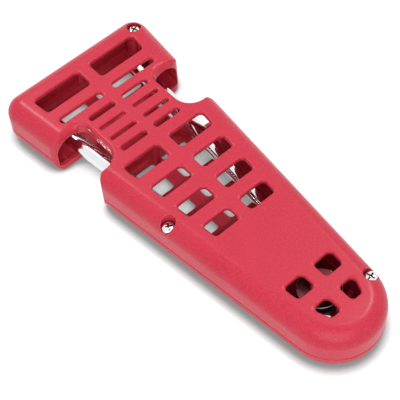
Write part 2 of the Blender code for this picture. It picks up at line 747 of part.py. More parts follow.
def main():
    """Build every piece."""
    for old in list(bpy.data.objects):
        bpy.data.objects.remove(old)
    bpy.context.scene.collection.children.link(parts)
    bpy.context.scene.collection.children.link(cutters)

    red = material("red_plastic", (0.72, 0.045, 0.085), 0.38)
    chrome = material("chromed_steel", (0.86, 0.87, 0.88), 0.08, 1.0)
    rubber = material("brown_rubber", (0.12, 0.024, 0.029), 0.75)
    zinc = material("plated_steel", (0.78, 0.78, 0.77), 0.25, 1.0)
    nylon = material("natural_nylon", (0.85, 0.83, 0.78), 0.5)
    dark_steel = material("blackened_steel", (0.11, 0.03, 0.032), 0.35, 1.0)

    front_cover(red)
    rear_cover(red)
    triangle_bar(chrome)
    apex_grommet(rubber)
    corner_pad("left_corner_pad", -1, rubber)
    corner_pad("right_corner_pad", 1, rubber)
    for name, (place, depth) in screw_places().items():
        case_screw(name, place, depth, zinc)
    beater(zinc, chrome)
    pivot_pin(zinc)
    hub_low, rear_face, _ = washer_stack()
    hub_washer("rear_washer", rear_face + GAP, nylon)
    hub_washer("front_washer", hub_low + HUB_HEIGHT + GAP, nylon)
    washer("bend_washer", APEX_CENTRE, SPINDLE_RADIUS + GAP, BEND_WASHER_RADIUS, bend_washer_ends(), dark_steel)

    for cutter in cutters.objects:
        cutter.hide_render = True
        cutter.display_type = "WIRE"
    for piece in parts.objects:
        if piece.type == "MESH":
            piece.data.shade_smooth()
            piece.data.set_sharp_from_angle(angle=SMOOTH_ANGLE)


main()
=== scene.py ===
"""Looks of a one-handed triangle: a bent steel rod in a red two-piece moulded case, with a beater inside.

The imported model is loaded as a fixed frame. Each sub-assembly below builds a finer mesh in the place of its
solids, gives it a finish and rides it on the body that carries it. All sizes are in metres.
"""

import logging
import math
from abc import ABC, abstractmethod
from dataclasses import dataclass
from enum import Enum
from functools import cache
from typing import Callable, Sequence

import bmesh
import bpy
from mathutils import Matrix, Vector


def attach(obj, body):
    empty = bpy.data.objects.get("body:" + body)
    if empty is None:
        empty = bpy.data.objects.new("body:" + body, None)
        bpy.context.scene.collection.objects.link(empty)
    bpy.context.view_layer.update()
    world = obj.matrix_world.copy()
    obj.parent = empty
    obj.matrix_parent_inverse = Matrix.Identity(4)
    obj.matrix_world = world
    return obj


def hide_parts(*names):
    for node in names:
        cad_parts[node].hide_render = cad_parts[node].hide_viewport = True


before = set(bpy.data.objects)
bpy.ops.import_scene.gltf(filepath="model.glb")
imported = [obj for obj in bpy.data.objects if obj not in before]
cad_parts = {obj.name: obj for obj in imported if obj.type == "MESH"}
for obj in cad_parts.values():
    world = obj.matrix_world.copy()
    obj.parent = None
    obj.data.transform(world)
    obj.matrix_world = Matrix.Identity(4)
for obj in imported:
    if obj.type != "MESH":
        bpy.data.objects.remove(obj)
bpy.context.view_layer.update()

LOG = logging.getLogger("one_handed_triangle")

Piece = bpy.types.Object
Socket = bpy.types.NodeSocket
Source = float | Sequence[float] | Socket
Colour = tuple[float, float, float]
Corner = tuple[float, float, float]
Span = tuple[float, float]
Profile = list[tuple[float, float]]
Outline = list[Vector]
OutlineMaker = Callable[[float], Outline]

FINE_ARC = math.radians(5.0)
EDGE_STEPS = 8
LIP_STEPS = 5
TURN_SEGMENTS = 64
HAIR = 0.00001
WELD = HAIR / 10
SPARE = 0.003
SMOOTH_ANGLE = math.radians(32.0)
LONGEST_EASE = 0.48
QUARTER_TURN = [math.radians(90.0) * step / EDGE_STEPS for step in range(EDGE_STEPS + 1)]
CLOUD_SPAN = (0.3, 0.7)
EDGE_SPAN = (0.75, 0.995)
BEVEL_SAMPLES = 6
OPENNESS_SAMPLES = 16
SHADER = "Principled BSDF"
WHITE = (1.0, 1.0, 1.0, 1.0)


class Operation(Enum):
    """How one solid is combined with another."""

    JOIN = "UNION"
    CUT = "DIFFERENCE"
    KEEP = "INTERSECT"


class Side(Enum):
    """Left or right of the case's middle line, as the sign of x."""

    LEFT = -1.0
    RIGHT = 1.0


class Body(Enum):
    """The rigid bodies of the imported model."""

    CASE = "case"
    BEATER = "beater"


def bend(along: Vector, corner: Vector, leaving: Vector, radius: float) -> Outline:
    """Points of a round bend at a corner between two straight runs.

    Args:
        along: Direction of the run that arrives.
        corner: Where the two runs would meet.
        leaving: Direction of the run that leaves.
        radius: Radius of the bend.

    Returns:
        The bend's points in order.
    """
    turn = math.atan2(along.cross(leaving), along.dot(leaving))
    side = math.copysign(1.0, turn)
    start = corner - along * radius * math.tan(abs(turn) / 2)
    centre = start + side * radius * Vector((-along.y, along.x))
    steps = max(2, 2 * round(abs(turn) / FINE_ARC / 2))
    swings = [Matrix.Rotation(turn * step / steps, 2) for step in range(steps + 1)]
    return [centre + swing @ (start - centre) for swing in swings]


def rounded(corners: Sequence[Corner], inset: float) -> Outline:
    """Points of a closed outline whose corners are rounded.

    Args:
        corners: Anticlockwise x, y and radius of each corner.
        inset: How far the outline is drawn in; a negative value draws it out.

    Returns:
        The outline's points, as many for every inset.
    """
    edges = []
    for index, (x, y, _) in enumerate(corners):
        next_x, next_y, _ = corners[(index + 1) % len(corners)]
        along = Vector((next_x - x, next_y - y)).normalized()
        edges.append((Vector((x, y)) + inset * Vector((-along.y, along.x)), along))
    points: Outline = []
    for index, (_, _, radius) in enumerate(corners):
        before, along = edges[index - 1]
        after, leaving = edges[index]
        turn = along.cross(leaving)
        corner = before + along * ((after - before).cross(leaving) / turn)
        points += bend(along, corner, leaving, max(radius - math.copysign(inset, turn), HAIR))
    return points


def full_turn(count: int) -> list[float]:
    """The angles of equal steps round a full turn."""
    return [2 * math.pi * step / count for step in range(count)]


def circle(place: Vector, radius: float) -> Outline:
    """Points of a circle in plan, anticlockwise."""
    return [Vector((place.x + radius * math.cos(turn), place.y + radius * math.sin(turn)))
            for turn in full_turn(TURN_SEGMENTS)]


def eased(profile: Sequence[tuple[float, float]], radius: float, closed: bool) -> Profile:
    """A turned profile with its corners rounded.

    Args:
        profile: Radius and height of each corner.
        radius: Reach of the rounding along each side, at most half of the side.
        closed: Whether the last corner joins the first.

    Returns:
        The rounded profile.
    """
    corners = [Vector(point) for point in profile]
    eased_points: list[Vector] = []
    for index, corner in enumerate(corners):
        if not closed and index in (0, len(corners) - 1):
            eased_points.append(corner)
            continue
        back = corners[index - 1] - corner
        ahead = corners[(index + 1) % len(corners)] - corner
        start = corner + back.normalized() * min(radius, back.length * LONGEST_EASE)
        end = corner + ahead.normalized() * min(radius, ahead.length * LONGEST_EASE)
        for step in range(LIP_STEPS):
            part = step / (LIP_STEPS - 1)
            eased_points.append(start.lerp(corner, part).lerp(corner.lerp(end, part), part))
    return [(point.x, point.y) for point in eased_points]


class Solid:
    """Closed bodies that are collected in one mesh."""

    def __init__(self) -> None:
        """Start with no body."""
        self.shape = bmesh.new()

    def loft(self, rings: Sequence[Sequence[Vector]]) -> "Solid":
        """Add a body through rings of equal length, closed at both ends.

        Args:
            rings: Points of each ring, from the lowest to the highest.

        Returns:
            This collection.
        """
        rows = [[self.shape.verts.new(point) for point in ring] for ring in rings]
        for lower, upper in zip(rows, rows[1:]):
            for index, corner in enumerate(lower):
                self.shape.faces.new((lower[index - 1], corner, upper[index], upper[index - 1]))
        self.shape.faces.new(reversed(rows[0]))
        self.shape.faces.new(rows[-1])
        return self

    def stack(self, outline: OutlineMaker, levels: Sequence[tuple[float, float]]) -> "Solid":
        """Add a body from an outline at pairs of an inset and a height, from the lowest to the highest."""
        return self.loft([[point.to_3d() + Vector((0, 0, height)) for point in outline(inset)]
                          for inset, height in levels])

    def prism(self, outline: OutlineMaker, low: float, high: float,
              low_round: float = 0.0, high_round: float = 0.0) -> "Solid":
        """Add an upright body with round lower and upper edges.

        Args:
            outline: Gives the body's outline for an inset.
            low: Height of its lower face.
            high: Height of its upper face.
            low_round: Radius of its lower edge.
            high_round: Radius of its upper edge, or when negative the radius of a lip that flares out there.

        Returns:
            This collection.
        """
        levels: list[tuple[float, float]] = []
        for fall in QUARTER_TURN if low_round else QUARTER_TURN[:1]:
            levels.append((low_round * (1 - math.sin(fall)), low + low_round * (1 - math.cos(fall))))
        for rise in QUARTER_TURN if high_round else QUARTER_TURN[:1]:
            drop = abs(high_round) * (1 - math.sin(rise))
            levels.append((high_round * (1 - math.cos(rise)), high - drop))
        return self.stack(outline, levels)

    def post(self, place: Vector, radius: float, low: float, high: float, edge: float = 0.0) -> "Solid":
        """Add an upright round post, whose upper edge is round, or flares out when its radius is negative."""
        return self.prism(lambda inset: circle(place, radius - inset), low, high, 0.0, edge)

    def block(self, low: Sequence[float], high: Sequence[float]) -> "Solid":
        """Add a square block between its lowest and its highest corner."""
        plan = [Vector(corner) for corner in (low[:2], (high[0], low[1]), high[:2], (low[0], high[1]))]
        return self.stack(lambda inset: plan, ((0.0, low[2]), (0.0, high[2])))

    def sleeve(self, bore: float, radius: float, low: float, high: float, edge: float) -> "Solid":
        """Add a tube round the z axis with its edges eased, or a rod when its bore is 0."""
        corners = [(bore, high), (radius, high), (radius, low), (bore, low)]
        return self.turned(eased(corners, edge, closed=bore > 0.0))

    def turned(self, profile: Profile) -> "Solid":
        """Add a body turned about the z axis.

        Args:
            profile: Radius and height of each point; both ends on the axis, or neither.

        Returns:
            This collection.
        """
        turns = full_turn(TURN_SEGMENTS)
        rows = []
        for radius, height in profile:
            spread = turns if radius > HAIR else [0.0]
            rows.append([self.shape.verts.new((radius * math.cos(turn), radius * math.sin(turn), height))
                         for turn in spread])
        pairs = list(zip(rows, rows[1:]))
        if len(rows[0]) > 1:
            pairs.append((rows[-1], rows[0]))
        for upper, lower in pairs:
            for index in range(TURN_SEGMENTS):
                ring = [upper[index % len(upper)], upper[index - 1] if len(upper) > 1 else None,
                        lower[index - 1] if len(lower) > 1 else None, lower[index % len(lower)]]
                self.shape.faces.new([corner for corner in ring if corner is not None])
        return self

    def moved(self, matrix: Matrix) -> "Solid":
        """Move everything collected so far by a matrix."""
        bmesh.ops.transform(self.shape, matrix=matrix, verts=self.shape.verts)
        return self

    def to_object(self, name: str) -> Piece:
        """Turn the collected bodies into an object.

        Args:
            name: The object's name.

        Returns:
            The new object, linked to the scene.
        """
        bmesh.ops.recalc_face_normals(self.shape, faces=self.shape.faces)
        mesh = bpy.data.meshes.new(name)
        self.shape.to_mesh(mesh)
        self.shape.free()
        made = bpy.data.objects.new(name, mesh)
        bpy.context.scene.collection.objects.link(made)
        return made


def as_object(body: Solid | Piece) -> Piece:
    """A body as an object: a collection becomes one, and an object stays as it is."""
    return body.to_object("tool") if isinstance(body, Solid) else body


def combine(target: Solid | Piece, operation: Operation,
            *tools: Solid | Piece) -> Piece:
    """Join, cut or intersect a body with others.

    Args:
        target: The body that is changed.
        operation: What is done.
        tools: The other bodies.

    Returns:
        The target, as an object.
    """
    changed = as_object(target)
    for tool in tools:
        step = changed.modifiers.new(operation.name, "BOOLEAN")
        step.operation = operation.value
        step.solver = "MANIFOLD"
        step.object = as_object(tool)
    return changed


def tools_of(target: Piece) -> list[Piece]:
    """Every object that an object's cuts and joins use, however deep."""
    tools = [step.object for step in target.modifiers if step.type == "BOOLEAN"]
    return tools + [deeper for tool in tools for deeper in tools_of(tool)]


def settle(target: Piece) -> Piece:
    """Keep the result of an object's cuts and joins as its mesh and remove the tools.

    Args:
        target: The object to settle.

    Returns:
        The target.
    """
    bpy.context.view_layer.update()
    graph = bpy.context.evaluated_depsgraph_get()
    mesh = bpy.data.meshes.new_from_object(target.evaluated_get(graph))
    tools = tools_of(target)
    target.modifiers.clear()
    target.data = mesh
    for tool in set(tools):
        bpy.data.objects.remove(tool)
    shape = bmesh.new()
    shape.from_mesh(mesh)
    bmesh.ops.remove_doubles(shape, verts=shape.verts, dist=WELD)
    bmesh.ops.dissolve_degenerate(shape, edges=shape.edges, dist=WELD)
    shape.to_mesh(mesh)
    shape.free()
    return target


def smooth(target: Piece) -> Piece:
    """Shade an object smoothly, with flat faces kept flat.

    Args:
        target: The object to shade.

    Returns:
        The target.
    """
    target.data.shade_smooth()
    target.data.set_sharp_from_angle(angle=SMOOTH_ANGLE)
    weights = target.modifiers.new("flat_faces", "WEIGHTED_NORMAL")
    weights.keep_sharp = True
    return target


@dataclass(frozen=True)
class Texture:
    """A cloudy texture: clouds per metre, finer layers, and the share and height of the relief it gives."""

    scale: float
    detail: float
    strength: float = 0.0
    depth: float = 0.0


class NodeBench:
    """Builds a node tree. Inputs are named with underscores for spaces and take values or sockets."""

    def __init__(self, owner: bpy.types.Material | bpy.types.World, end: str) -> None:
        """Open a node tree.

        Args:
            owner: The material or world that it belongs to.
            end: Name of the shader that it ends in.
        """
        owner.use_nodes = True
        self.tree = owner.node_tree
        self.end = self.tree.nodes[end]

    def fill(self, node: bpy.types.Node, inputs: dict[str, Source]) -> None:
        """Give each named input of a node its value, or link it to its socket.

        Args:
            node: The node.
            inputs: What each input gets.
        """
        for name, source in inputs.items():
            socket = node.inputs[name.replace("_", " ")]
            if isinstance(source, Socket):
                self.tree.links.new(source, socket)
            else:
                socket.default_value = source

    def set(self, **inputs: Source) -> None:
        """Fill the inputs of the shader that the tree ends in."""
        self.fill(self.end, inputs)

    def add(self, kind: str, output: str, samples: int = 0, **inputs: Source) -> Socket:
        """Add a node.

        Args:
            kind: Its type.
            output: Name of the output that is used.
            samples: Its number of samples, where it has one.
            inputs: What each input gets.

        Returns:
            The output's socket.
        """
        node = self.tree.nodes.new(kind)
        if samples:
            node.samples = samples
        self.fill(node, inputs)
        return node.outputs[output]

    def maths(self, kind: str, operation: str, *sources: Socket) -> Socket:
        """Add a node that calculates one value.

        Args:
            kind: Its type.
            operation: What it does.
            sources: What it works on, in order.

        Returns:
            The value's socket.
        """
        node = self.tree.nodes.new(kind)
        node.operation = operation
        for socket, source in zip(node.inputs, sources):
            self.tree.links.new(source, socket)
        return node.outputs["Value"]

    def place(self) -> Socket:
        """The object's own coordinates."""
        return self.add("ShaderNodeTexCoord", "Object")

    def stretched(self, scale: Sequence[float]) -> Socket:
        """The object's own coordinates, scaled along x, y and z."""
        return self.add("ShaderNodeMapping", "Vector", Vector=self.place(), Scale=scale)

    def noise(self, texture: Texture, place: Socket | None = None) -> Socket:
        """Clouds of values from 0 to 1, in the object's own coordinates or in others."""
        return self.add("ShaderNodeTexNoise", "Fac", Vector=place or self.place(), Scale=texture.scale,
                        Detail=texture.detail)

    def between(self, source: Socket, low: float, high: float,
                span: Span = CLOUD_SPAN) -> Socket:
        """Values from low to high over a span of the source."""
        return self.add("ShaderNodeMapRange", "Result", Value=source, From_Min=span[0], From_Max=span[1],
                        To_Min=low, To_Max=high)

    def mixed(self, share: Socket, first: Colour | Socket,
              second: Colour) -> Socket:
        """A colour between two others.

        Args:
            share: How much of the second colour.
            first: The first colour, as a value or a socket.
            second: The second colour.

        Returns:
            The mixed colour's socket.
        """
        node = self.tree.nodes.new("ShaderNodeMix")
        node.data_type = "RGBA"
        self.tree.links.new(share, node.inputs["Factor"])
        first_socket, second_socket = [socket for socket in node.inputs if socket.type == "RGBA"]
        if isinstance(first, Socket):
            self.tree.links.new(first, first_socket)
        else:
            first_socket.default_value = (*first, 1.0)
        second_socket.default_value = (*second, 1.0)
        return [socket for socket in node.outputs if socket.type == "RGBA"][0]

    def toned(self, clouds: Socket, first: Colour | Socket, second: Colour,
              span: Span = CLOUD_SPAN) -> Socket:
        """A colour that turns into a second one over a span of the clouds."""
        return self.mixed(self.between(clouds, 0.0, 1.0, span), first, second)

    def soft_edges(self, radius: float) -> Socket:
        """A normal that rounds sharp edges by a radius."""
        return self.add("ShaderNodeBevel", "Normal", BEVEL_SAMPLES, Radius=radius)

    def edge_share(self, radius: float) -> Socket:
        """How near a point is to a sharp or tightly rounded edge.

        Args:
            radius: Width of the zone that counts as edge.

        Returns:
            A socket that is 0 on a flat face and grows toward an edge.
        """
        normal = self.add("ShaderNodeNewGeometry", "Normal")
        likeness = self.maths("ShaderNodeVectorMath", "DOT_PRODUCT", self.soft_edges(radius), normal)
        return self.between(likeness, 1.0, 0.0, EDGE_SPAN)

    def openness(self, reach: float) -> Socket:
        """A value that is 1 in the open and falls to 0 where other surfaces crowd in within a reach."""
        return self.add("ShaderNodeAmbientOcclusion", "AO", OPENNESS_SAMPLES, Distance=reach)

    def level(self) -> Socket:
        """A value that is 1 on a level face and 0 on an upright one."""
        normal = self.add("ShaderNodeTexCoord", "Normal")
        return self.maths("ShaderNodeMath", "ABSOLUTE", self.add("ShaderNodeSeparateXYZ", "Z", Vector=normal))

    def relief(self, height: Socket, texture: Texture,
               **normal: Socket) -> Socket:
        """A normal raised by a texture's height, on the face's own normal or on the one given as Normal."""
        return self.add("ShaderNodeBump", "Normal", Height=height, Strength=texture.strength,
                        Distance=texture.depth, **normal)

    def when_seen(self, unseen: float, seen: float | Socket) -> Socket:
        """A value for the camera, for mirrors and through glass, and another one for the light on the object.

        Args:
            unseen: The value for the light on the object.
            seen: The value for what is seen, or its socket.

        Returns:
            The value's socket.
        """
        rays = self.tree.nodes.new("ShaderNodeLightPath").outputs
        share = rays["Is Camera Ray"]
        for name in ("Is Glossy Ray", "Is Transmission Ray"):
            share = self.maths("ShaderNodeMath", "MAXIMUM", share, rays[name])
        return self.add("ShaderNodeMapRange", "Result", Value=share, To_Min=unseen, To_Max=seen)


@dataclass(frozen=True)
class Finish(ABC):
    """The finish of every piece in one material slot."""

    slot: str

    @cache
    def material(self) -> bpy.types.Material:
        """Make the finish's material, once.

        Returns:
            The material.
        """
        material = bpy.data.materials.new(self.slot)
        self.dress(NodeBench(material, SHADER))
        return material

    @abstractmethod
    def dress(self, bench: NodeBench) -> None:
        """Build the finish.

        Args:
            bench: The bench of its material.
        """


@dataclass(frozen=True)
class MouldedPlastic(Finish):
    """Coloured moulding with a fine spark-eroded grain, cloudy gloss and a painted highlight along its edges.
    """

    slot: str = "red_plastic"
    colour: Colour = (0.70, 0.034, 0.070)
    deep_colour: Colour = (0.65, 0.026, 0.057)
    bright_colour: Colour = (0.76, 0.056, 0.097)
    # lighter pink painted on edges and window lips: a painted highlight
    edge_highlight_colour: Colour = (0.86, 0.190, 0.240)
    gloss: Span = (0.25, 0.32)
    sheen: float = 0.28
    grain: Texture = Texture(scale=2600.0, detail=3.0, strength=0.8, depth=0.00006)
    speckle: Texture = Texture(scale=1300.0, detail=3.0)
    speckle_span: Span = (0.42, 0.75)
    cloud: Texture = Texture(scale=45.0, detail=4.0)
    edge_radius: float = 0.0004
    most_edge_highlight: float = 0.6
    edge_highlight_reach: float = 0.0008
    highlight_span: Span = (0.1, 0.9)

    def dress(self, bench: NodeBench) -> None:
        """Build the finish.

        Args:
            bench: The bench of its material.
        """
        cloud = bench.noise(self.cloud)
        tone = bench.toned(cloud, self.colour, self.deep_colour)
        speckled = bench.toned(bench.noise(self.speckle), tone, self.bright_colour, self.speckle_span)
        # edges and window lips are painted lighter: a painted highlight, not wear
        painted_highlight = bench.between(bench.edge_share(self.edge_highlight_reach), 0.0, self.most_edge_highlight, self.highlight_span)
        soft_edges = bench.soft_edges(self.edge_radius)
        bench.set(Base_Color=bench.mixed(painted_highlight, speckled, self.edge_highlight_colour),
                  Roughness=bench.between(cloud, *self.gloss),
                  Specular_IOR_Level=self.sheen,
                  Normal=bench.relief(bench.noise(self.grain), self.grain, Normal=soft_edges))


@dataclass(frozen=True)
class PolishedChrome(Finish):
    """Bright chrome with faint draw lines along the rod."""

    slot: str = "chromed_steel"
    colour: Colour = (0.86, 0.87, 0.88)
    dull_colour: Colour = (0.78, 0.79, 0.80)
    gloss: Span = (0.035, 0.10)
    lines: Texture = Texture(scale=1.0, detail=2.0, strength=0.04, depth=0.00002)
    line_scale: tuple[float, float, float] = (2200.0, 90.0, 2200.0)
    cloud: Texture = Texture(scale=160.0, detail=3.0)

    def dress(self, bench: NodeBench) -> None:
        """Build the finish.

        Args:
            bench: The bench of its material.
        """
        lines = bench.noise(self.lines, bench.stretched(self.line_scale))
        bench.set(Base_Color=bench.toned(bench.noise(self.cloud), self.colour, self.dull_colour),
                  Metallic=1.0,
                  Roughness=bench.between(lines, *self.gloss),
                  Normal=bench.relief(lines, self.lines))


@dataclass(frozen=True)
class PlatedSteel(Finish):
    """Zinc-plated steel with a fine turned sheen, and painted shade where other surfaces crowd in."""

    slot: str = "plated_steel"
    colour: Colour = (0.90, 0.90, 0.89)
    dull_colour: Colour = (0.76, 0.76, 0.75)
    # near-black painted in crowded hollows such as the cross: painted shade
    recess_shade_colour: Colour = (0.050, 0.045, 0.042)
    gloss: Span = (0.08, 0.16)
    marks: Texture = Texture(scale=1400.0, detail=4.0, strength=0.15, depth=0.00003)
    recess_shade_reach: float = 0.0012
    recess_shade_span: Span = (0.45, 0.80)
    edge_radius: float = 0.00015

    def dress(self, bench: NodeBench) -> None:
        """Build the finish.

        Args:
            bench: The bench of its material.
        """
        marks = bench.noise(self.marks)
        tone = bench.toned(marks, self.colour, self.dull_colour)
        # darker where other surfaces crowd in: painted shade, not grime
        recess_shade = bench.between(bench.openness(self.recess_shade_reach), 1.0, 0.0, self.recess_shade_span)
        bench.set(Base_Color=bench.mixed(recess_shade, tone, self.recess_shade_colour),
                  Metallic=1.0,
                  Roughness=bench.between(marks, *self.gloss),
                  Normal=bench.relief(marks, self.marks, Normal=bench.soft_edges(self.edge_radius)))


@dataclass(frozen=True)
class BlackenedSteel(Finish):
    """Oil-blackened steel whose upright faces are painted bright metal as a painted highlight on the rim."""

    slot: str = "blackened_steel"
    colour: Colour = (0.100, 0.026, 0.028)
    brown_colour: Colour = (0.140, 0.036, 0.040)
    # bright metal painted on upright faces: a painted rim highlight
    rim_highlight_colour: Colour = (0.92, 0.92, 0.91)
    gloss: Span = (0.35, 0.50)
    cloud: Texture = Texture(scale=300.0, detail=4.0, strength=0.2, depth=0.00003)
    highlight_span: Span = (0.80, 0.97)

    def dress(self, bench: NodeBench) -> None:
        """Build the finish.

        Args:
            bench: The bench of its material.
        """
        cloud = bench.noise(self.cloud)
        tone = bench.toned(cloud, self.colour, self.brown_colour)
        # upright faces get bright metal by their tilt: a painted highlight, not rubbing
        painted_highlight = bench.between(bench.level(), 1.0, 0.0, self.highlight_span)
        bench.set(Base_Color=bench.mixed(painted_highlight, tone, self.rim_highlight_colour),
                  Metallic=1.0,
                  Roughness=bench.between(cloud, *self.gloss),
                  Normal=bench.relief(cloud, self.cloud))


@dataclass(frozen=True)
class BrownRubber(Finish):
    """Matte rubber with a dusty bloom."""

    slot: str = "brown_rubber"
    colour: Colour = (0.105, 0.018, 0.023)
    bloom_colour: Colour = (0.150, 0.032, 0.039)
    gloss: Span = (0.45, 0.60)
    bloom: Texture = Texture(scale=220.0, detail=5.0)
    pores: Texture = Texture(scale=2400.0, detail=2.0, strength=0.4, depth=0.00008)

    def dress(self, bench: NodeBench) -> None:
        """Build the finish.

        Args:
            bench: The bench of its material.
        """
        bloom = bench.noise(self.bloom)
        bench.set(Base_Color=bench.toned(bloom, self.colour, self.bloom_colour),
                  Roughness=bench.between(bloom, *self.gloss),
                  Normal=bench.relief(bench.noise(self.pores), self.pores))


@dataclass(frozen=True)
class NaturalNylon(Finish):
    """Milky nylon with flow marks from moulding."""

    slot: str = "natural_nylon"
    colour: Colour = (0.82, 0.80, 0.74)
    flow_colour: Colour = (0.72, 0.69, 0.61)
    gloss: Span = (0.40, 0.55)
    flow: Texture = Texture(scale=900.0, detail=3.0, strength=0.2, depth=0.00004)

    def dress(self, bench: NodeBench) -> None:
        """Build the finish.

        Args:
            bench: The bench of its material.
        """
        flow = bench.noise(self.flow)
        bench.set(Base_Color=bench.toned(flow, self.colour, self.flow_colour),
                  Roughness=bench.between(flow, *self.gloss),
                  Normal=bench.relief(flow, self.flow))


def install(piece: Piece, finish: Finish, body: Body, *nodes: str) -> Piece:
    """Give a piece its finish and put it on its body in the place of its solids.

    Args:
        piece: The finished mesh, in place.
        finish: Its finish.
        body: The body that carries it.
        nodes: The solids that it stands for.

    Returns:
        The piece.
    """
    smooth(piece)
    piece.data.materials.clear()
    piece.data.materials.append(finish.material())
    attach(piece, body.value)
    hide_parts(*nodes)
    LOG.info("%s stands for %s on %s: %d faces", piece.name, ", ".join(nodes), body.value,
             len(piece.data.polygons))
    return piece


@dataclass(frozen=True)
class CaseForm:
    """Sizes of the moulded case, and the outlines and places that its pieces share."""

    length: float = 0.208
    taper: float = math.radians(6.22)
    tip_radius: float = 0.0231
    head_corner: float = 0.0088
    front_depth: float = 0.0164
    rear_depth: float = 0.009
    wall: float = 0.002
    plate: float = 0.002
    front_edge: float = 0.0085
    rear_edge: float = 0.0075
    seam_edge: float = 0.0005
    gap: float = 0.0003

    head_length: float = 0.0385
    notch_length: float = 0.0281
    neck_half: float = 0.0208
    neck_root: float = 0.0095
    head_root: float = 0.004
    shoulder: float = 0.0050
    chin: float = 0.006
    notch_edge: float = 0.0018
    front_lip: float = 0.006
    rear_lip: float = 0.0044
    mouth_arch: float = 0.0065
    mouth: float = 0.008
    mouth_crown: float = 0.0038
    brow: float = 0.004
    brow_root: float = 0.002
    brow_neck_root: float = 0.0055

    side_margin: float = 0.0115
    tip_margin: float = 0.011
    window_corner: float = 0.0022
    window_lip: float = 0.0009
    centre_bar: float = 0.0034
    head_window_inset: float = 0.012
    head_window_depth: float = 0.0107
    head_slot_inset: float = 0.03105
    head_slot_width: float = 0.0037
    neck_slot_inset: float = 0.0011
    neck_slot_pitch: float = 0.00794
    neck_slot_count: int = 4
    neck_slot_width: float = 0.0021
    neck_end_slot_width: float = 0.0031
    neck_slot_bar: float = 0.0025
    neck_slot_margin: float = 0.0033
    row_inset: float = 0.0054
    first_row_depth: float = 0.0096
    row_depth: float = 0.0084
    row_bar: float = 0.0075
    row_count: int = 4
    tip_window_depth: float = 0.0085
    tip_window_bar: float = 0.0071
    tip_window_from_bend: float = 0.008
    tip_window_count: int = 2
    rear_head_margin: float = 0.0158
    rear_head_window_depth: float = 0.0127
    rear_head_step: float = 0.0105
    rear_head_step_run: float = 0.003
    rear_first_slot: int = 3
    rear_last_slot_shift: float = 0.0031
    rear_row_shift: float = 0.0014

    rod_over_joint: float = 0.0024
    bend_inset: float = 0.0319
    pivot_from_bend: float = 0.0463
    pillar_from_shoulder: float = 0.0011
    head_screw_inset: float = 0.0069
    head_screw_depth: float = 0.0024
    head_screw_angle: float = math.radians(18.0)
    tip_screw_inset: float = 0.0041
    tip_screw_depth: float = 0.003
    tip_screw_angle: float = math.radians(-9.7)
    side_screw_inset: float = 0.0036
    side_screw_depth: float = 0.004
    side_screw_from_shoulder: float = 0.0421

    @property
    def height(self) -> float:
        """Full height of the closed case."""
        return self.front_depth + self.rear_depth

    @property
    def head_end(self) -> float:
        """Where the head ends, along y."""
        return self.length / 2

    @property
    def tip_centre(self) -> float:
        """Centre of the round tip, along y."""
        return self.tip_radius - self.length / 2

    @property
    def side_meeting(self) -> float:
        """Where the two straight sides would meet, along y."""
        return self.tip_centre - self.tip_radius / math.sin(self.taper)

    @property
    def notch_far(self) -> float:
        """The notches' side toward the head."""
        return self.head_end - self.head_length

    @property
    def notch_near(self) -> float:
        """The notches' side toward the tip."""
        return self.notch_far - self.notch_length

    @property
    def bend_place(self) -> Vector:
        """Centre of the rod's bend in plan."""
        return Vector((0.0, self.bend_inset - self.length / 2))

    @property
    def pivot_place(self) -> Vector:
        """The beater's pivot in plan."""
        return self.bend_place + Vector((0.0, self.pivot_from_bend))

    @property
    def pillar_place(self) -> Vector:
        """The neck's pillar in plan."""
        return Vector((0.0, self.notch_near + self.pillar_from_shoulder))

    @property
    def rod_height(self) -> float:
        """Height of the rod's centre line."""
        return self.rear_depth + self.rod_over_joint

    def half_width(self, y: float) -> float:
        """Half the width between the straight sides at a place along y."""
        return (y - self.side_meeting) * math.tan(self.taper)

    def outline(self, inset: float) -> Outline:
        """The case in plan without its notches."""
        corner = self.half_width(self.head_end)
        return rounded([(0.0, self.side_meeting, self.tip_radius), (corner, self.head_end, self.head_corner),
                        (-corner, self.head_end, self.head_corner)], inset)

    def inner_outline(self, inset: float) -> Outline:
        """The case's inner wall in plan without its notches."""
        return self.outline(self.wall + inset)

    def around_notches(self, near: float, neck: float, near_root: float, far_root: float,
                       inset: float) -> Outline:
        """A larger outline with two notches, just outside the case elsewhere.

        Args:
            near: The notches' side toward the tip.
            neck: Half the width of the neck between them.
            near_root: Radius between the neck and the notches' near side.
            far_root: Radius between the neck and the head.
            inset: How far the outline is drawn in.

        Returns:
            The outline's points.
        """
        outside = self.gap / math.cos(self.taper)
        below = -self.head_end - 2 * SPARE
        beyond = self.head_end + 2 * SPARE
        right: list[Corner] = [
            (self.half_width(below) + outside, below, SPARE),
            (self.half_width(near) + outside, near, self.shoulder),
            (neck, near, near_root),
            (neck, self.notch_far, far_root),
            (self.half_width(self.notch_far) + outside, self.notch_far, self.chin),
            (self.half_width(beyond) + outside, beyond, SPARE),
        ]
        return rounded(right + [(-x, y, radius) for x, y, radius in reversed(right)], inset)

    def notched(self, inset: float) -> Outline:
        """The outline with the notches."""
        return self.around_notches(self.notch_near, self.neck_half, self.neck_root, self.head_root, inset)

    def browed(self, inset: float) -> Outline:
        """The outline with smaller notches, which meets the notches' edge on the head's side alone."""
        return self.around_notches(self.notch_near + self.brow, self.neck_half + self.brow,
                                   self.brow_neck_root, self.brow_root, inset)

    def inner_notched(self, inset: float) -> Outline:
        """The notched outline drawn in by the wall."""
        return self.notched(self.wall + inset)

    def window(self, near: float, far: float, inner: float, radius: float, ends: Span) -> list[Corner]:
        """Corners of a window on the right side, from its inner end to its outer ends, near and far."""
        return [(inner, near, radius), (ends[0], near, radius), (ends[1], far, radius), (inner, far, radius)]

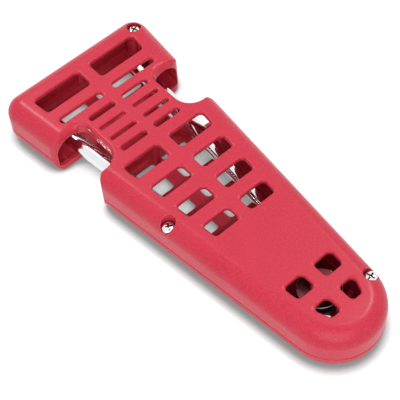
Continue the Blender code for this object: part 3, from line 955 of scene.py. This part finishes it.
    def side_window(self, near: float, far: float, radius: float, margin: float) -> list[Corner]:
        """Corners of a window on the right side that keeps a margin from the case's side."""
        ends = (self.half_width(near) - margin, self.half_width(far) - margin)
        return self.window(near, far, self.centre_bar, radius, ends)

    def front_windows(self) -> list[list[Corner]]:
        """Every window and slot of the front cover."""
        head = [self.head_window(self.head_window_depth, self.side_margin), self.head_slot()]
        return self.on_both_sides(head + self.neck_slots(0, 0.0) + self.rows(0.0) + self.tip_windows(0.0))

    def rear_windows(self) -> list[list[Corner]]:
        """Every window and slot of the rear cover.

        Returns:
            The corners of each one.
        """
        shift = self.rear_row_shift
        slots = self.neck_slots(self.rear_first_slot, self.rear_last_slot_shift)
        windows = self.rows(shift) + self.tip_windows(shift)
        return self.on_both_sides([self.rear_head_window()] + slots + windows)

    def head_window(self, depth: float, margin: float) -> list[Corner]:
        """The window on the right of the head, from its depth and its margin from the case's side."""
        far = self.head_end - self.head_window_inset
        return self.side_window(far - depth, far, self.window_corner, margin)

    def rear_head_window(self) -> list[Corner]:
        """The window on the right of the rear cover's head, which is deeper beyond a step.

        Returns:
            Its corners, anticlockwise.
        """
        deep = self.head_window(self.rear_head_window_depth, self.rear_head_margin)
        inner, near, radius = deep[0]
        shallow = self.head_end - self.head_window_inset - self.head_window_depth
        half_run = self.rear_head_step_run / 2
        step = [(inner, shallow, radius), (self.rear_head_step - half_run, shallow, radius),
                (self.rear_head_step + half_run, near, radius)]
        return step + deep[1:]

    def head_slot(self) -> list[Corner]:
        """The slot on the right of the front cover's head.

        Returns:
            Its corners, anticlockwise.
        """
        half = self.head_slot_width / 2
        middle = self.head_end - self.head_slot_inset
        return self.side_window(middle - half, middle + half, half - HAIR, self.side_margin)

    def neck_slots(self, first: int, last_shift: float) -> list[list[Corner]]:
        """The slots on the right of the neck.

        Args:
            first: Index of the first slot that is cut, counted from the head.
            last_shift: How far the last slot is moved toward the tip.

        Returns:
            The corners of each slot.
        """
        slots = []
        last = self.neck_slot_count - 1
        end = self.neck_half - self.neck_slot_margin
        for index in range(first, self.neck_slot_count):
            half = (self.neck_end_slot_width if index in (0, last) else self.neck_slot_width) / 2
            middle = self.notch_far - self.neck_slot_inset - index * self.neck_slot_pitch
            if index == last:
                middle -= last_shift
            near, far = middle - half, middle + half
            slots.append(self.window(near, far, self.neck_slot_bar, half - HAIR, (end, end)))
        return slots

    def rows(self, shift: float) -> list[list[Corner]]:
        """The rows of windows on the right of the handle.

        Args:
            shift: How far they are moved toward the tip.

        Returns:
            The corners of each window.
        """
        windows = []
        far = self.notch_near - self.row_inset - shift
        depth = self.first_row_depth
        for _ in range(self.row_count):
            windows.append(self.side_window(far - depth, far, self.window_corner, self.side_margin))
            far -= depth + self.row_bar
            depth = self.row_depth
        return windows

    def tip_windows(self, shift: float) -> list[list[Corner]]:
        """The windows on the right of the tip, whose outer ends are drawn in as far as the round tip is.

        Args:
            shift: How far they are moved toward the tip.

        Returns:
            The corners of each window.
        """
        windows = []
        far = self.bend_place.y + self.tip_window_from_bend - shift
        reach = self.tip_radius - self.tip_margin
        for _ in range(self.tip_window_count):
            near = far - self.tip_window_depth
            drop = max(self.tip_centre - near, 0.0)
            drawn_in = reach - math.sqrt(reach ** 2 - drop ** 2)
            near_end = self.half_width(near) - self.tip_margin - drawn_in
            ends = (near_end, self.half_width(far) - self.tip_margin)
            windows.append(self.window(near, far, self.centre_bar, self.window_corner, ends))
            far = near - self.tip_window_bar
        return windows

    def on_both_sides(self, right: list[list[Corner]]) -> list[list[Corner]]:
        """Windows of the right side with their mirror images."""
        return right + [[(-x, y, radius) for x, y, radius in reversed(corners)] for corners in right]

    def screw_places(self) -> dict[str, tuple[Vector, float]]:
        """Where the screws stand.

        Returns:
            Plan position of each screw and the depth of its head's top, by name.
        """
        corner_y = self.head_end - self.head_corner
        corner = Vector((self.half_width(corner_y) - self.head_corner / math.cos(self.taper), corner_y))
        side_y = self.notch_near - self.side_screw_from_shoulder
        head_turn, tip_turn = self.head_screw_angle, self.tip_screw_angle
        head_reach = self.head_corner - self.head_screw_inset
        tip_reach = self.tip_radius - self.tip_screw_inset
        head_place = corner + head_reach * Vector((math.cos(head_turn), math.sin(head_turn)))
        side_place = Vector((self.side_screw_inset / math.cos(self.taper) - self.half_width(side_y), side_y))
        tip_way = Vector((math.cos(tip_turn), math.sin(tip_turn)))
        tip_place = Vector((0.0, self.tip_centre)) + tip_reach * tip_way
        return {
            "head_screw": (head_place, self.head_screw_depth),
            "side_screw": (side_place, self.side_screw_depth),
            "tip_screw": (tip_place, self.tip_screw_depth),
        }


@dataclass(frozen=True)
class ScrewForm:
    """Sizes of a case screw and of the bore, boss and recess round it."""

    shank: float = 0.00145
    head: float = 0.003
    head_height: float = 0.002
    dome: float = 0.0008
    recess: float = 0.0036
    end_height: float = 0.0052
    boss: float = 0.0046
    cross_reach: float = 0.0020
    cross_half: float = 0.0004
    cross_depth: float = 0.0014
    cross_taper: float = 0.00016
    thread_depth: float = 0.00022
    thread_pitch: float = 0.0009

    def seat(self, case: CaseForm, depth: float) -> float:
        """Height of the recess's floor, from the depth of the head's top."""
        return case.height - depth - self.head_height - case.gap


@dataclass(frozen=True)
class RodForm:
    """Sizes of the bent rod, of the rubber that holds it and of the washer on its bend."""

    radius: float = 0.004
    apex_bend: float = 0.0113
    arm_angle: float = math.radians(5.6)
    arm_end_inset: float = 0.0175
    end_chamfer: float = 0.0005
    spindle: float = 0.003
    spindle_edge: float = 0.0009
    post_foot: float = 0.0039
    flange: float = 0.002
    flange_radius: float = 0.0092
    flange_edge: float = 0.0006
    washer: float = 0.0006
    washer_radius: float = 0.010
    pad_inset: float = 0.02015
    pad_length: float = 0.0065
    pad_height: float = 0.010
    pad_lip: float = 0.0034
    pad_edge: float = 0.0003
    pad_edge_steps: int = 3
    fence: float = 0.0016

    def arm_meeting(self, case: CaseForm) -> float:
        """Where the centre lines of the two arms would meet, along y."""
        return case.bend_place.y - self.apex_bend / math.sin(self.arm_angle)

    def arm_offset(self, case: CaseForm, y: float) -> float:
        """Distance of an arm's centre line from the middle at a place along y."""
        return (y - self.arm_meeting(case)) * math.tan(self.arm_angle)

    def pad_near(self, case: CaseForm) -> float:
        """The pads' side toward the tip, along y."""
        return case.head_end - self.pad_inset - self.pad_length / 2

    def spool_span(self, case: CaseForm) -> tuple[float, float]:
        """Lower and upper face of the rubber spool."""
        half = self.radius + self.flange + 2 * case.gap
        return case.rod_height - half, case.rod_height + half

    def washer_span(self, case: CaseForm) -> tuple[float, float]:
        """Lower and upper face of the washer on the spool."""
        low = self.spool_span(case)[1] + case.gap
        return low, low + self.washer


@dataclass(frozen=True)
class BeaterForm:
    """Sizes of the beater and of what carries it."""

    pin: float = 0.0015
    pin_seat: float = 0.005
    boss: float = 0.0036
    hub: float = 0.0038
    hub_height: float = 0.0044
    washer: float = 0.0005
    washer_edge: float = 0.000125
    reach: float = 0.020
    wire: float = 0.0013
    ball: float = 0.005
    socket_depth: float = 0.0035
    collar: float = 0.0022
    edge: float = 0.0003

    def hub_low(self, case: CaseForm) -> float:
        """Height of the hub's lower face."""
        return case.rod_height - self.hub_height / 2

    def rear_face(self, case: CaseForm) -> float:
        """Height of the rear boss that carries the beater."""
        return self.hub_low(case) - self.washer - 2 * case.gap

    def front_face(self, case: CaseForm) -> float:
        """Height of the front boss that holds the beater down."""
        return self.hub_low(case) + self.hub_height + self.washer + 2 * case.gap


@dataclass(frozen=True)
class Case:
    """The two covers of the case."""

    form: CaseForm = CaseForm()
    screw: ScrewForm = ScrewForm()
    rod: RodForm = RodForm()
    beater: BeaterForm = BeaterForm()
    rib: float = 0.002
    rib_reach: float = 0.006
    pillar: float = 0.0023
    finish: MouldedPlastic = MouldedPlastic()

    def fences(self, low: float, high: float) -> Solid:
        """Short walls on both sides of each corner pad.

        Args:
            low: Their lower end.
            high: Their upper end.

        Returns:
            The walls, which still run through the case's side.
        """
        form, rod = self.form, self.rod
        walls = Solid()
        beyond = form.half_width(form.head_end)
        pad = rod.pad_near(form)
        for near in (pad - form.gap - rod.fence, pad + rod.pad_length + form.gap):
            far = near + rod.fence
            inner = rod.arm_offset(form, far) + rod.radius + 2 * form.gap
            walls.block((inner, near, low), (beyond, far, high))
            walls.block((-beyond, near, low), (-inner, far, high))
        return walls

    def bosses(self, low: float, high: float) -> Solid:
        """Round bosses at the screws.

        Args:
            low: Their lower end.
            high: Their upper end.

        Returns:
            The bosses.
        """
        posts = Solid()
        for place, _ in self.form.screw_places().values():
            posts.post(place, self.screw.boss, low, high)
        return posts

    def inside(self, low: float, high: float, low_round: float, high_round: float) -> Piece:
        """The case drawn in by half its wall, to trim what stands inside a cover.

        Args:
            low: Its lower end.
            high: Its upper end.
            low_round: Radius of its lower edge.
            high_round: Radius of its upper edge.

        Returns:
            The tool, in place.
        """
        half_wall = self.form.wall / 2
        room = Solid().prism(lambda inset: self.form.outline(half_wall + inset), low, high, low_round,
                             high_round)
        return room.to_object("inside")

    def mouth(self, side: Side) -> Solid:
        """A lying round post that arches the head's wall over a notch.

        Args:
            side: Which notch.

        Returns:
            The tool, in place.
        """
        form = self.form
        middle = (form.neck_half + form.half_width(form.notch_far) - form.wall) / 2
        place = (side.value * middle, form.notch_far, form.height - form.mouth_crown - form.mouth)
        post = Solid().post(Vector((0.0, 0.0)), form.mouth, -SPARE, form.wall + SPARE)
        return post.moved(Matrix.Translation(place) @ Matrix.Rotation(-math.pi / 2, 4, "X"))

    def front(self) -> Piece:
        """Build the deep front cover.

        Returns:
            The cover, in place.
        """
        form, screw, rod, beater = self.form, self.screw, self.rod, self.beater
        top = form.height
        low = form.rear_depth + form.gap / 2
        below = low - SPARE
        root = top - form.plate / 2
        shell = Solid().prism(form.outline, low, top, form.seam_edge, form.front_edge)
        notches = Solid().prism(form.notched, below, top + HAIR, 0.0, form.notch_edge)
        brows = Solid().prism(form.browed, below, top + HAIR, 0.0, form.brow)
        cover = combine(shell.to_object("front_shell"), Operation.KEEP, notches, brows)

        lip = top - form.front_lip
        deep = Solid().prism(form.inner_outline, below, lip, 0.0, form.mouth_arch)
        inner_round = form.front_edge - form.wall
        upper_low = lip - form.mouth_arch - SPARE
        upper = Solid().prism(form.inner_outline, upper_low, top - form.plate, 0.0, inner_round)
        upper_notches = Solid().prism(form.inner_notched, upper_low - SPARE, top)
        hollow = combine(upper, Operation.KEEP, upper_notches)
        combine(cover, Operation.CUT, deep, hollow, *[self.mouth(side) for side in Side])

        inside = self.inside(low, root, 0.0, form.front_edge - form.wall / 2)
        walls = self.fences(low, top)
        walls.block((-self.rib / 2, form.head_end - form.wall - self.rib_reach, low),
                    (self.rib / 2, form.head_end, top))
        bosses = combine(self.bosses(low, top), Operation.KEEP, inside)
        ribs = combine(walls, Operation.KEEP, inside)
        posts = Solid().post(form.bend_place, rod.post_foot, rod.washer_span(form)[1] + form.gap, root)
        posts.post(form.pivot_place, beater.boss, beater.front_face(form), root)
        combine(cover, Operation.JOIN, bosses, ribs, posts)

        recesses, holes, windows = Solid(), Solid(), Solid()
        for place, depth in form.screw_places().values():
            seat = screw.seat(form, depth)
            recesses.post(place, screw.recess, seat, top + HAIR, -form.seam_edge)
            holes.post(place, screw.shank + form.gap, below, seat + SPARE / 2)
        holes.post(form.bend_place, rod.spindle + form.gap, below, root - form.plate)
        holes.post(form.pivot_place, beater.pin + form.gap, below, beater.front_face(form) + beater.pin_seat)
        for corners in form.front_windows():
            windows.prism(lambda inset, shape=corners: rounded(shape, inset), top - form.plate - SPARE / 2,
                          top + HAIR, 0.0, -form.window_lip)
        return settle(combine(cover, Operation.CUT, recesses, holes, windows))

    def rear(self) -> Piece:
        """Build the shallow rear cover with the posts that carry the rod, the beater and the front plate.

        Returns:
            The cover, in place.
        """
        form, screw, rod, beater = self.form, self.screw, self.rod, self.beater
        high = form.rear_depth - form.gap / 2
        above = high + SPARE
        root = form.plate / 2
        shell = Solid().prism(form.outline, 0.0, high, form.rear_edge, form.seam_edge)
        notches = Solid().prism(form.notched, -HAIR, above, form.notch_edge)
        cover = combine(shell.to_object("rear_shell"), Operation.KEEP, notches)

        hollow = Solid().prism(form.inner_outline, form.plate, above, form.rear_edge - form.wall)
        hollow_notches = Solid().prism(form.inner_notched, 0.0, above + SPARE)
        lips = Solid().prism(form.inner_outline, form.rear_lip, above)
        combine(cover, Operation.CUT, combine(hollow, Operation.KEEP, hollow_notches), lips)

        inside = self.inside(root, high, form.rear_edge - form.wall / 2, 0.0)
        bosses = combine(self.bosses(0.0, above), Operation.KEEP, inside)
        ribs = combine(self.fences(0.0, above), Operation.KEEP, inside)
        combine(cover, Operation.JOIN, bosses, ribs)

        under_plate = form.height - form.plate - form.gap
        feet = Solid().post(form.bend_place, rod.post_foot, root, rod.spool_span(form)[0] - form.gap)
        feet.post(form.pivot_place, beater.boss, root, beater.rear_face(form))
        feet.post(form.pillar_place, self.pillar, root, under_plate, form.seam_edge)
        spindle_top = under_plate - form.plate
        spindle = Solid().post(form.bend_place, rod.spindle, root, spindle_top, rod.spindle_edge)
        combine(cover, Operation.JOIN, feet, spindle)

        holes, windows = Solid(), Solid()
        for place, _ in form.screw_places().values():
            holes.post(place, screw.shank + form.gap, screw.end_height - form.gap, above)
        pin_foot = beater.rear_face(form) - beater.pin_seat
        holes.post(form.pivot_place, beater.pin + form.gap, pin_foot, form.height)
        for corners in form.rear_windows():
            turned_over = [(x, -y, radius) for x, y, radius in reversed(corners)]
            windows.prism(lambda inset, shape=turned_over: rounded(shape, inset), -form.plate - SPARE / 2,
                          HAIR, 0.0, -form.window_lip)
        windows.moved(Matrix.Diagonal((1.0, -1.0, -1.0, 1.0)))
        return settle(combine(cover, Operation.CUT, holes, windows))

    def build(self) -> None:
        """Build and dress both covers."""
        install(self.front(), self.finish, Body.CASE, "front_cover")
        install(self.rear(), self.finish, Body.CASE, "rear_cover")


@dataclass(frozen=True)
class Triangle:
    """The bent rod, the rubber that holds it and the washer on its bend."""

    case: CaseForm = CaseForm()
    rod: RodForm = RodForm()
    steel: PolishedChrome = PolishedChrome()
    rubber: BrownRubber = BrownRubber()
    dark_steel: BlackenedSteel = BlackenedSteel()
    sides: int = 48

    def route(self) -> Outline:
        """The rod's centre line in plan.

        Returns:
            Its points, from the right arm's end round the bend to the left arm's end.
        """
        case, rod = self.case, self.rod
        end_y = case.head_end - rod.arm_end_inset
        apex = Vector((0.0, rod.arm_meeting(case)))
        right_end = Vector((rod.arm_offset(case, end_y), end_y))
        left_end = Vector((-rod.arm_offset(case, end_y), end_y))
        down = (apex - right_end).normalized()
        up = (left_end - apex).normalized()
        return [right_end] + bend(down, apex, up, rod.apex_bend) + [left_end]

    def bar(self) -> Piece:
        """Build the rod with chamfered ends.

        Returns:
            The rod, in place.
        """
        route = self.route()
        chamfer = self.rod.end_chamfer
        first = (route[1] - route[0]).normalized() * chamfer
        last = (route[-1] - route[-2]).normalized() * chamfer
        places = [route[0], route[0] + first] + route[1:-1] + [route[-1] - last, route[-1]]
        radii = [self.rod.radius] * len(places)
        radii[0] = radii[-1] = self.rod.radius - chamfer
        rings = []
        for index, (place, radius) in enumerate(zip(places, radii)):
            before, after = places[max(index - 1, 0)], places[min(index + 1, len(places) - 1)]
            along = (after - before).normalized()
            across = Vector((along.y, -along.x, 0.0))
            centre = Vector((place.x, place.y, self.case.rod_height))
            rings.append([centre + radius * (math.cos(turn) * across + math.sin(turn) * Vector((0, 0, 1)))
                          for turn in full_turn(self.sides)])
        return Solid().loft(rings).to_object("steel_triangle")

    def spool(self) -> Piece:
        """Build the rubber spool in the rod's bend.

        Returns:
            The spool, in place.
        """
        case, rod = self.case, self.rod
        low, high = rod.spool_span(case)
        bore = rod.spindle + case.gap
        groove = rod.apex_bend - rod.radius - case.gap
        rim = rod.flange_radius
        corners = [(bore, high), (rim, high), (rim, high - rod.flange), (groove, high - rod.flange),
                   (groove, low + rod.flange), (rim, low + rod.flange), (rim, low), (bore, low)]
        spool = Solid().turned(eased(corners, rod.flange_edge, closed=True))
        return spool.moved(Matrix.Translation(case.bend_place.to_3d())).to_object("rubber_spool")

    def washer(self) -> Piece:
        """Build the thin washer on the spool.

        Returns:
            The washer, in place.
        """
        case, rod = self.case, self.rod
        low, high = rod.washer_span(case)
        bore = rod.spindle + case.gap
        washer = Solid().sleeve(bore, rod.washer_radius, low, high, LONGEST_EASE * rod.washer)
        return washer.moved(Matrix.Translation(case.bend_place.to_3d())).to_object("steel_washer")

    def pad(self, side: Side) -> Piece:
        """Build one rubber pad between an arm and the case's wall.

        Args:
            side: Which arm.

        Returns:
            The pad, in place.
        """
        case, rod = self.case, self.rod
        low, high = case.rod_height - rod.pad_height / 2, case.rod_height + rod.pad_height / 2
        near, far = rod.pad_near(case), rod.pad_near(case) + rod.pad_length
        inner = rod.arm_offset(case, far) + rod.pad_lip
        outer = case.half_width(case.head_end)
        left, right = sorted((side.value * inner, side.value * outer))
        blank = Solid().block((left, near, low), (right, far, high))
        pad = blank.to_object(f"{side.name.lower()}_rubber_pad")
        room = Solid().prism(lambda inset: case.outline(case.wall + case.gap + inset), low - SPARE,
                             high + SPARE)
        middle_y = (near + far) / 2
        middle = Vector((side.value * rod.arm_offset(case, middle_y), middle_y, case.rod_height))
        lay = Matrix.Rotation(-side.value * rod.arm_angle, 4, "Z") @ Matrix.Rotation(-math.pi / 2, 4, "X")
        groove = Solid().post(Vector((0.0, 0.0)), rod.radius + case.gap, -case.height, case.height)
        groove.moved(Matrix.Translation(middle) @ lay)
        combine(pad, Operation.KEEP, room)
        combine(pad, Operation.CUT, groove)
        settle(pad)
        edges = pad.modifiers.new("soft_edges", "BEVEL")
        edges.width = rod.pad_edge
        edges.segments = rod.pad_edge_steps
        edges.limit_method = "ANGLE"
        edges.angle_limit = SMOOTH_ANGLE
        return settle(pad)

    def build(self) -> None:
        """Build and dress the rod, its spool, its washer and its pads."""
        install(self.bar(), self.steel, Body.CASE, "triangle_bar")
        install(self.spool(), self.rubber, Body.CASE, "apex_grommet")
        install(self.washer(), self.dark_steel, Body.CASE, "bend_washer")
        for side in Side:
            install(self.pad(side), self.rubber, Body.CASE, f"{side.name.lower()}_corner_pad")


@dataclass(frozen=True)
class CaseScrews:
    """The three screws that close the case."""

    case: CaseForm = CaseForm()
    form: ScrewForm = ScrewForm()
    finish: PlatedSteel = PlatedSteel()
    turns: tuple[float, float, float] = (math.radians(20.0), math.radians(-28.0), math.radians(12.0))

    def profile(self, depth: float) -> Profile:
        """The turned shape of a screw.

        Args:
            depth: How far its crown lies under the case's top.

        Returns:
            Radius and height of each point, from the crown down to the point.
        """
        form = self.form
        under_head = form.seat(self.case, depth) + self.case.gap
        top = under_head + form.head_height
        points: Profile = []
        for fall in QUARTER_TURN:
            points.append((form.head * math.sin(fall), top - form.dome * (1.0 - math.cos(fall))))
        points += [(form.head, under_head + form.thread_depth), (form.head - form.thread_depth, under_head),
                   (form.shank, under_head)]
        height = under_head - form.thread_pitch
        while height - form.thread_pitch > form.end_height + form.shank:
            points += [(form.shank, height), (form.shank - form.thread_depth, height - form.thread_pitch / 2)]
            height -= form.thread_pitch
        points += [(form.shank, height), (form.shank, form.end_height + form.shank / 2),
                   (form.shank / 2, form.end_height), (0.0, form.end_height)]
        return points

    def cross(self, inset: float) -> Outline:
        """The cross recess in plan.

        Args:
            inset: How far it is drawn in.

        Returns:
            Its points, anticlockwise.
        """
        reach, half = self.form.cross_reach - inset, self.form.cross_half - inset
        arm = [Vector((reach, -half)), Vector((reach, half)), Vector((half, half))]
        return [Matrix.Rotation(math.pi / 2 * quarter, 2) @ point for quarter in range(4) for point in arm]

    def screw(self, name: str, place: Vector, depth: float, turn: float) -> Piece:
        """Build one screw.

        Args:
            name: The piece's name.
            place: Its place in plan.
            depth: How far its crown lies under the case's top.
            turn: How far its cross is turned.

        Returns:
            The screw, in place.
        """
        form = self.form
        top = self.case.height - depth
        lift = Matrix.Translation(place.to_3d()) @ Matrix.Rotation(turn, 4, "Z")
        screw = Solid().turned(self.profile(depth)).moved(lift).to_object(name)
        levels = ((form.cross_taper, top - form.cross_depth), (0.0, top + HAIR))
        recess = Solid().stack(self.cross, levels).moved(lift)
        return settle(combine(screw, Operation.CUT, recess))

    def build(self) -> None:
        """Build and dress the screws."""
        for (node, (place, depth)), turn in zip(self.case.screw_places().items(), self.turns):
            install(self.screw(f"case_{node}", place, depth, turn), self.finish, Body.CASE, node)


@dataclass(frozen=True)
class Beater:
    """The swinging beater, its pin and its washers."""

    case: CaseForm = CaseForm()
    form: BeaterForm = BeaterForm()
    plated: PlatedSteel = PlatedSteel()
    chrome: PolishedChrome = PolishedChrome()
    nylon: NaturalNylon = NaturalNylon()

    def at_pivot(self, height: float = 0.0) -> Matrix:
        """A move from the origin to the pivot's axis."""
        return Matrix.Translation(self.case.pivot_place.to_3d() + Vector((0.0, 0.0, height)))

    def toward_ball(self) -> Matrix:
        """A move that lays the z axis from the pivot toward the ball."""
        return self.at_pivot(self.case.rod_height) @ Matrix.Rotation(math.pi / 2, 4, "X")

    def arm(self) -> Piece:
        """Build the hub with its wire.

        Returns:
            The arm, in place.
        """
        form, case = self.form, self.case
        half = form.hub_height / 2
        bore = form.pin + case.gap
        hub = Solid().sleeve(bore, form.hub, -half, half, form.edge).moved(self.at_pivot(case.rod_height))
        start = (form.hub + form.pin) / 2
        end = form.reach - form.ball + form.socket_depth
        wire = Solid().sleeve(0.0, form.wire, start, end, form.edge).moved(self.toward_ball())
        return settle(combine(hub.to_object("beater_wire"), Operation.JOIN, wire))

    def ball(self) -> Piece:
        """Build the ball with its collar and the socket for the wire.

        Returns:
            The ball, in place.
        """
        form, case = self.form, self.case
        mouth = form.wire + case.gap
        bottom = form.reach - form.ball + form.socket_depth + case.gap
        collar_fall = math.asin(form.collar / form.ball)
        points: Profile = [(0.0, form.reach + form.ball)]
        steps = 4 * EDGE_STEPS
        for step in range(1, steps + 1):
            fall = (math.pi - collar_fall) * step / steps
            points.append((form.ball * math.sin(fall), form.reach + form.ball * math.cos(fall)))
        rim = form.reach - form.ball * math.cos(collar_fall)
        points += [(mouth, rim), (mouth, bottom), (0.0, bottom)]
        return Solid().turned(points).moved(self.toward_ball()).to_object("beater_ball")

    def pin(self) -> Piece:
        """Build the pivot pin.

        Returns:
            The pin, in place.
        """
        form, case = self.form, self.case
        low = form.rear_face(case) - form.pin_seat + case.gap
        high = form.front_face(case) + form.pin_seat - case.gap
        pin = Solid().sleeve(0.0, form.pin, low, high, form.edge)
        return pin.moved(self.at_pivot()).to_object("beater_pin")

    def washer(self, name: str, low: float) -> Piece:
        """Build one washer.

        Args:
            name: The piece's name.
            low: Height of its lower face.

        Returns:
            The washer, in place.
        """
        form = self.form
        bore = form.pin + self.case.gap
        washer = Solid().sleeve(bore, form.boss, low, low + form.washer, form.washer_edge)
        return washer.moved(self.at_pivot()).to_object(name)

    def build(self) -> None:
        """Build and dress the beater and what carries it."""
        form, case = self.form, self.case
        install(self.arm(), self.plated, Body.BEATER, "striker_arm")
        install(self.ball(), self.chrome, Body.BEATER, "striker_ball")
        install(self.pin(), self.plated, Body.CASE, "pivot_pin")
        under_hub = form.rear_face(case) + case.gap
        over_hub = form.hub_low(case) + form.hub_height + case.gap
        install(self.washer("rear_nylon_washer", under_hub), self.nylon, Body.CASE, "rear_washer")
        install(self.washer("front_nylon_washer", over_hub), self.nylon, Body.CASE, "front_washer")


@dataclass(frozen=True)
class SoftBox:
    """One large soft lamp."""

    name: str
    place: tuple[float, float, float]
    size: float
    power: float
    aim: tuple[float, float, float] = (0.0, 0.0, 0.0)

    def build(self) -> None:
        """Hang the lamp and turn it to its aim."""
        light = bpy.data.lights.new(self.name, "AREA")
        light.shape = "DISK"
        light.size = self.size
        light.energy = self.power
        lamp = bpy.data.objects.new(self.name, light)
        lamp.location = self.place
        lamp.rotation_euler = (Vector(self.aim) - Vector(self.place)).to_track_quat("-Z", "Y").to_euler()
        bpy.context.scene.collection.objects.link(lamp)


@dataclass(frozen=True)
class Studio:
    """The pale floor with its painted shadow, the soft light and the camera."""

    floor_half: float = 3.0
    floor_tone: float = 0.85
    floor_seen_tone: float = 0.12
    floor_roughness: float = 0.9
    # glow, reach and span of the painted shadow on the floor, at the case's edge and under it
    contact_shadow_glow: Span = (0.22, 0.97)
    contact_shadow_reach: float = 0.0085
    contact_shadow_span: Span = (0.48, 0.80)
    under_shadow_glow: Span = (0.24, 1.0)
    under_shadow_reach: float = 0.040
    under_shadow_span: Span = (0.20, 0.45)
    world_strength: float = 0.38
    azimuth: float = math.radians(-37.339)
    elevation: float = math.radians(55.463)
    roll: float = math.radians(-4.810)
    distance: float = 0.54130
    target: tuple[float, float, float] = (-0.01002, -0.00599, 0.0254)
    lens: float = 108.9
    sensor: float = 36.0
    clip: Span = (0.01, 20.0)
    lamps: tuple[SoftBox, ...] = (
        SoftBox("fill_soft_box", place=(-0.72, -0.80, 0.82), size=1.4, power=8.9),
        SoftBox("back_lamp", place=(0.030, 0.820, 1.095), size=0.17, power=3.8),
        SoftBox("right_lamp", place=(0.690, 0.092, 1.120), size=0.17, power=3.8),
    )

    def camera(self) -> None:
        """Place the camera at the photograph's viewing angle."""
        back = Vector((math.sin(self.azimuth) * math.cos(self.elevation),
                       -math.cos(self.azimuth) * math.cos(self.elevation), math.sin(self.elevation)))
        right = Vector((math.cos(self.azimuth), math.sin(self.azimuth), 0.0))
        up = back.cross(right)
        turned_right = math.cos(self.roll) * right + math.sin(self.roll) * up
        turned_up = math.cos(self.roll) * up - math.sin(self.roll) * right
        lens = bpy.data.cameras.new("camera")
        lens.lens = self.lens
        lens.sensor_width = self.sensor
        lens.clip_start, lens.clip_end = self.clip
        camera = bpy.data.objects.new("camera", lens)
        turn = Matrix((turned_right, turned_up, back)).transposed().to_4x4()
        camera.matrix_world = Matrix.Translation(Vector(self.target) + back * self.distance) @ turn
        bpy.context.scene.collection.objects.link(camera)
        bpy.context.scene.camera = camera

    def floor(self) -> None:
        """Lay the pale floor, whose glow for the camera is dimmed near and under the case as a painted
        shadow.
        """
        shape = bmesh.new()
        bmesh.ops.create_grid(shape, x_segments=1, y_segments=1, size=self.floor_half)
        mesh = bpy.data.meshes.new("floor")
        shape.to_mesh(mesh)
        shape.free()
        floor = bpy.data.objects.new("floor", mesh)
        floor.location.z = -HAIR
        bpy.context.scene.collection.objects.link(floor)
        material = bpy.data.materials.new("pale_floor")
        bench = NodeBench(material, SHADER)
        # the floor's glow for the camera falls where the case crowds in: a painted contact shadow and a
        # painted shadow under the case
        contact_shadow = bench.between(bench.openness(self.contact_shadow_reach), *self.contact_shadow_glow, self.contact_shadow_span)
        under_shadow = bench.between(bench.openness(self.under_shadow_reach), *self.under_shadow_glow, self.under_shadow_span)
        shadowed_glow = bench.maths("ShaderNodeMath", "MINIMUM", contact_shadow, under_shadow)
        bench.set(Base_Color=bench.when_seen(self.floor_tone, self.floor_seen_tone),
                  Roughness=self.floor_roughness,
                  Specular_IOR_Level=0.0,
                  Emission_Color=WHITE,
                  Emission_Strength=bench.when_seen(0.0, shadowed_glow))
        mesh.materials.append(material)

    def world(self) -> None:
        """Light the scene evenly, and show white behind it."""
        world = bpy.data.worlds.new("studio")
        bench = NodeBench(world, "Background")
        bench.set(Color=WHITE, Strength=bench.when_seen(self.world_strength, 1.0))
        bpy.context.scene.world = world

    def build(self) -> None:
        """Set up the whole studio."""
        bpy.context.scene.view_settings.view_transform = "Standard"
        self.camera()
        self.floor()
        self.world()
        for lamp in self.lamps:
            lamp.build()


def main() -> None:
    """Build every sub-assembly in order."""
    logging.basicConfig(level=logging.INFO, format="%(name)s: %(message)s")
    Studio().build()
    Case().build()
    Triangle().build()
    CaseScrews().build()
    Beater().build()


if __name__ == "__main__":
    main()
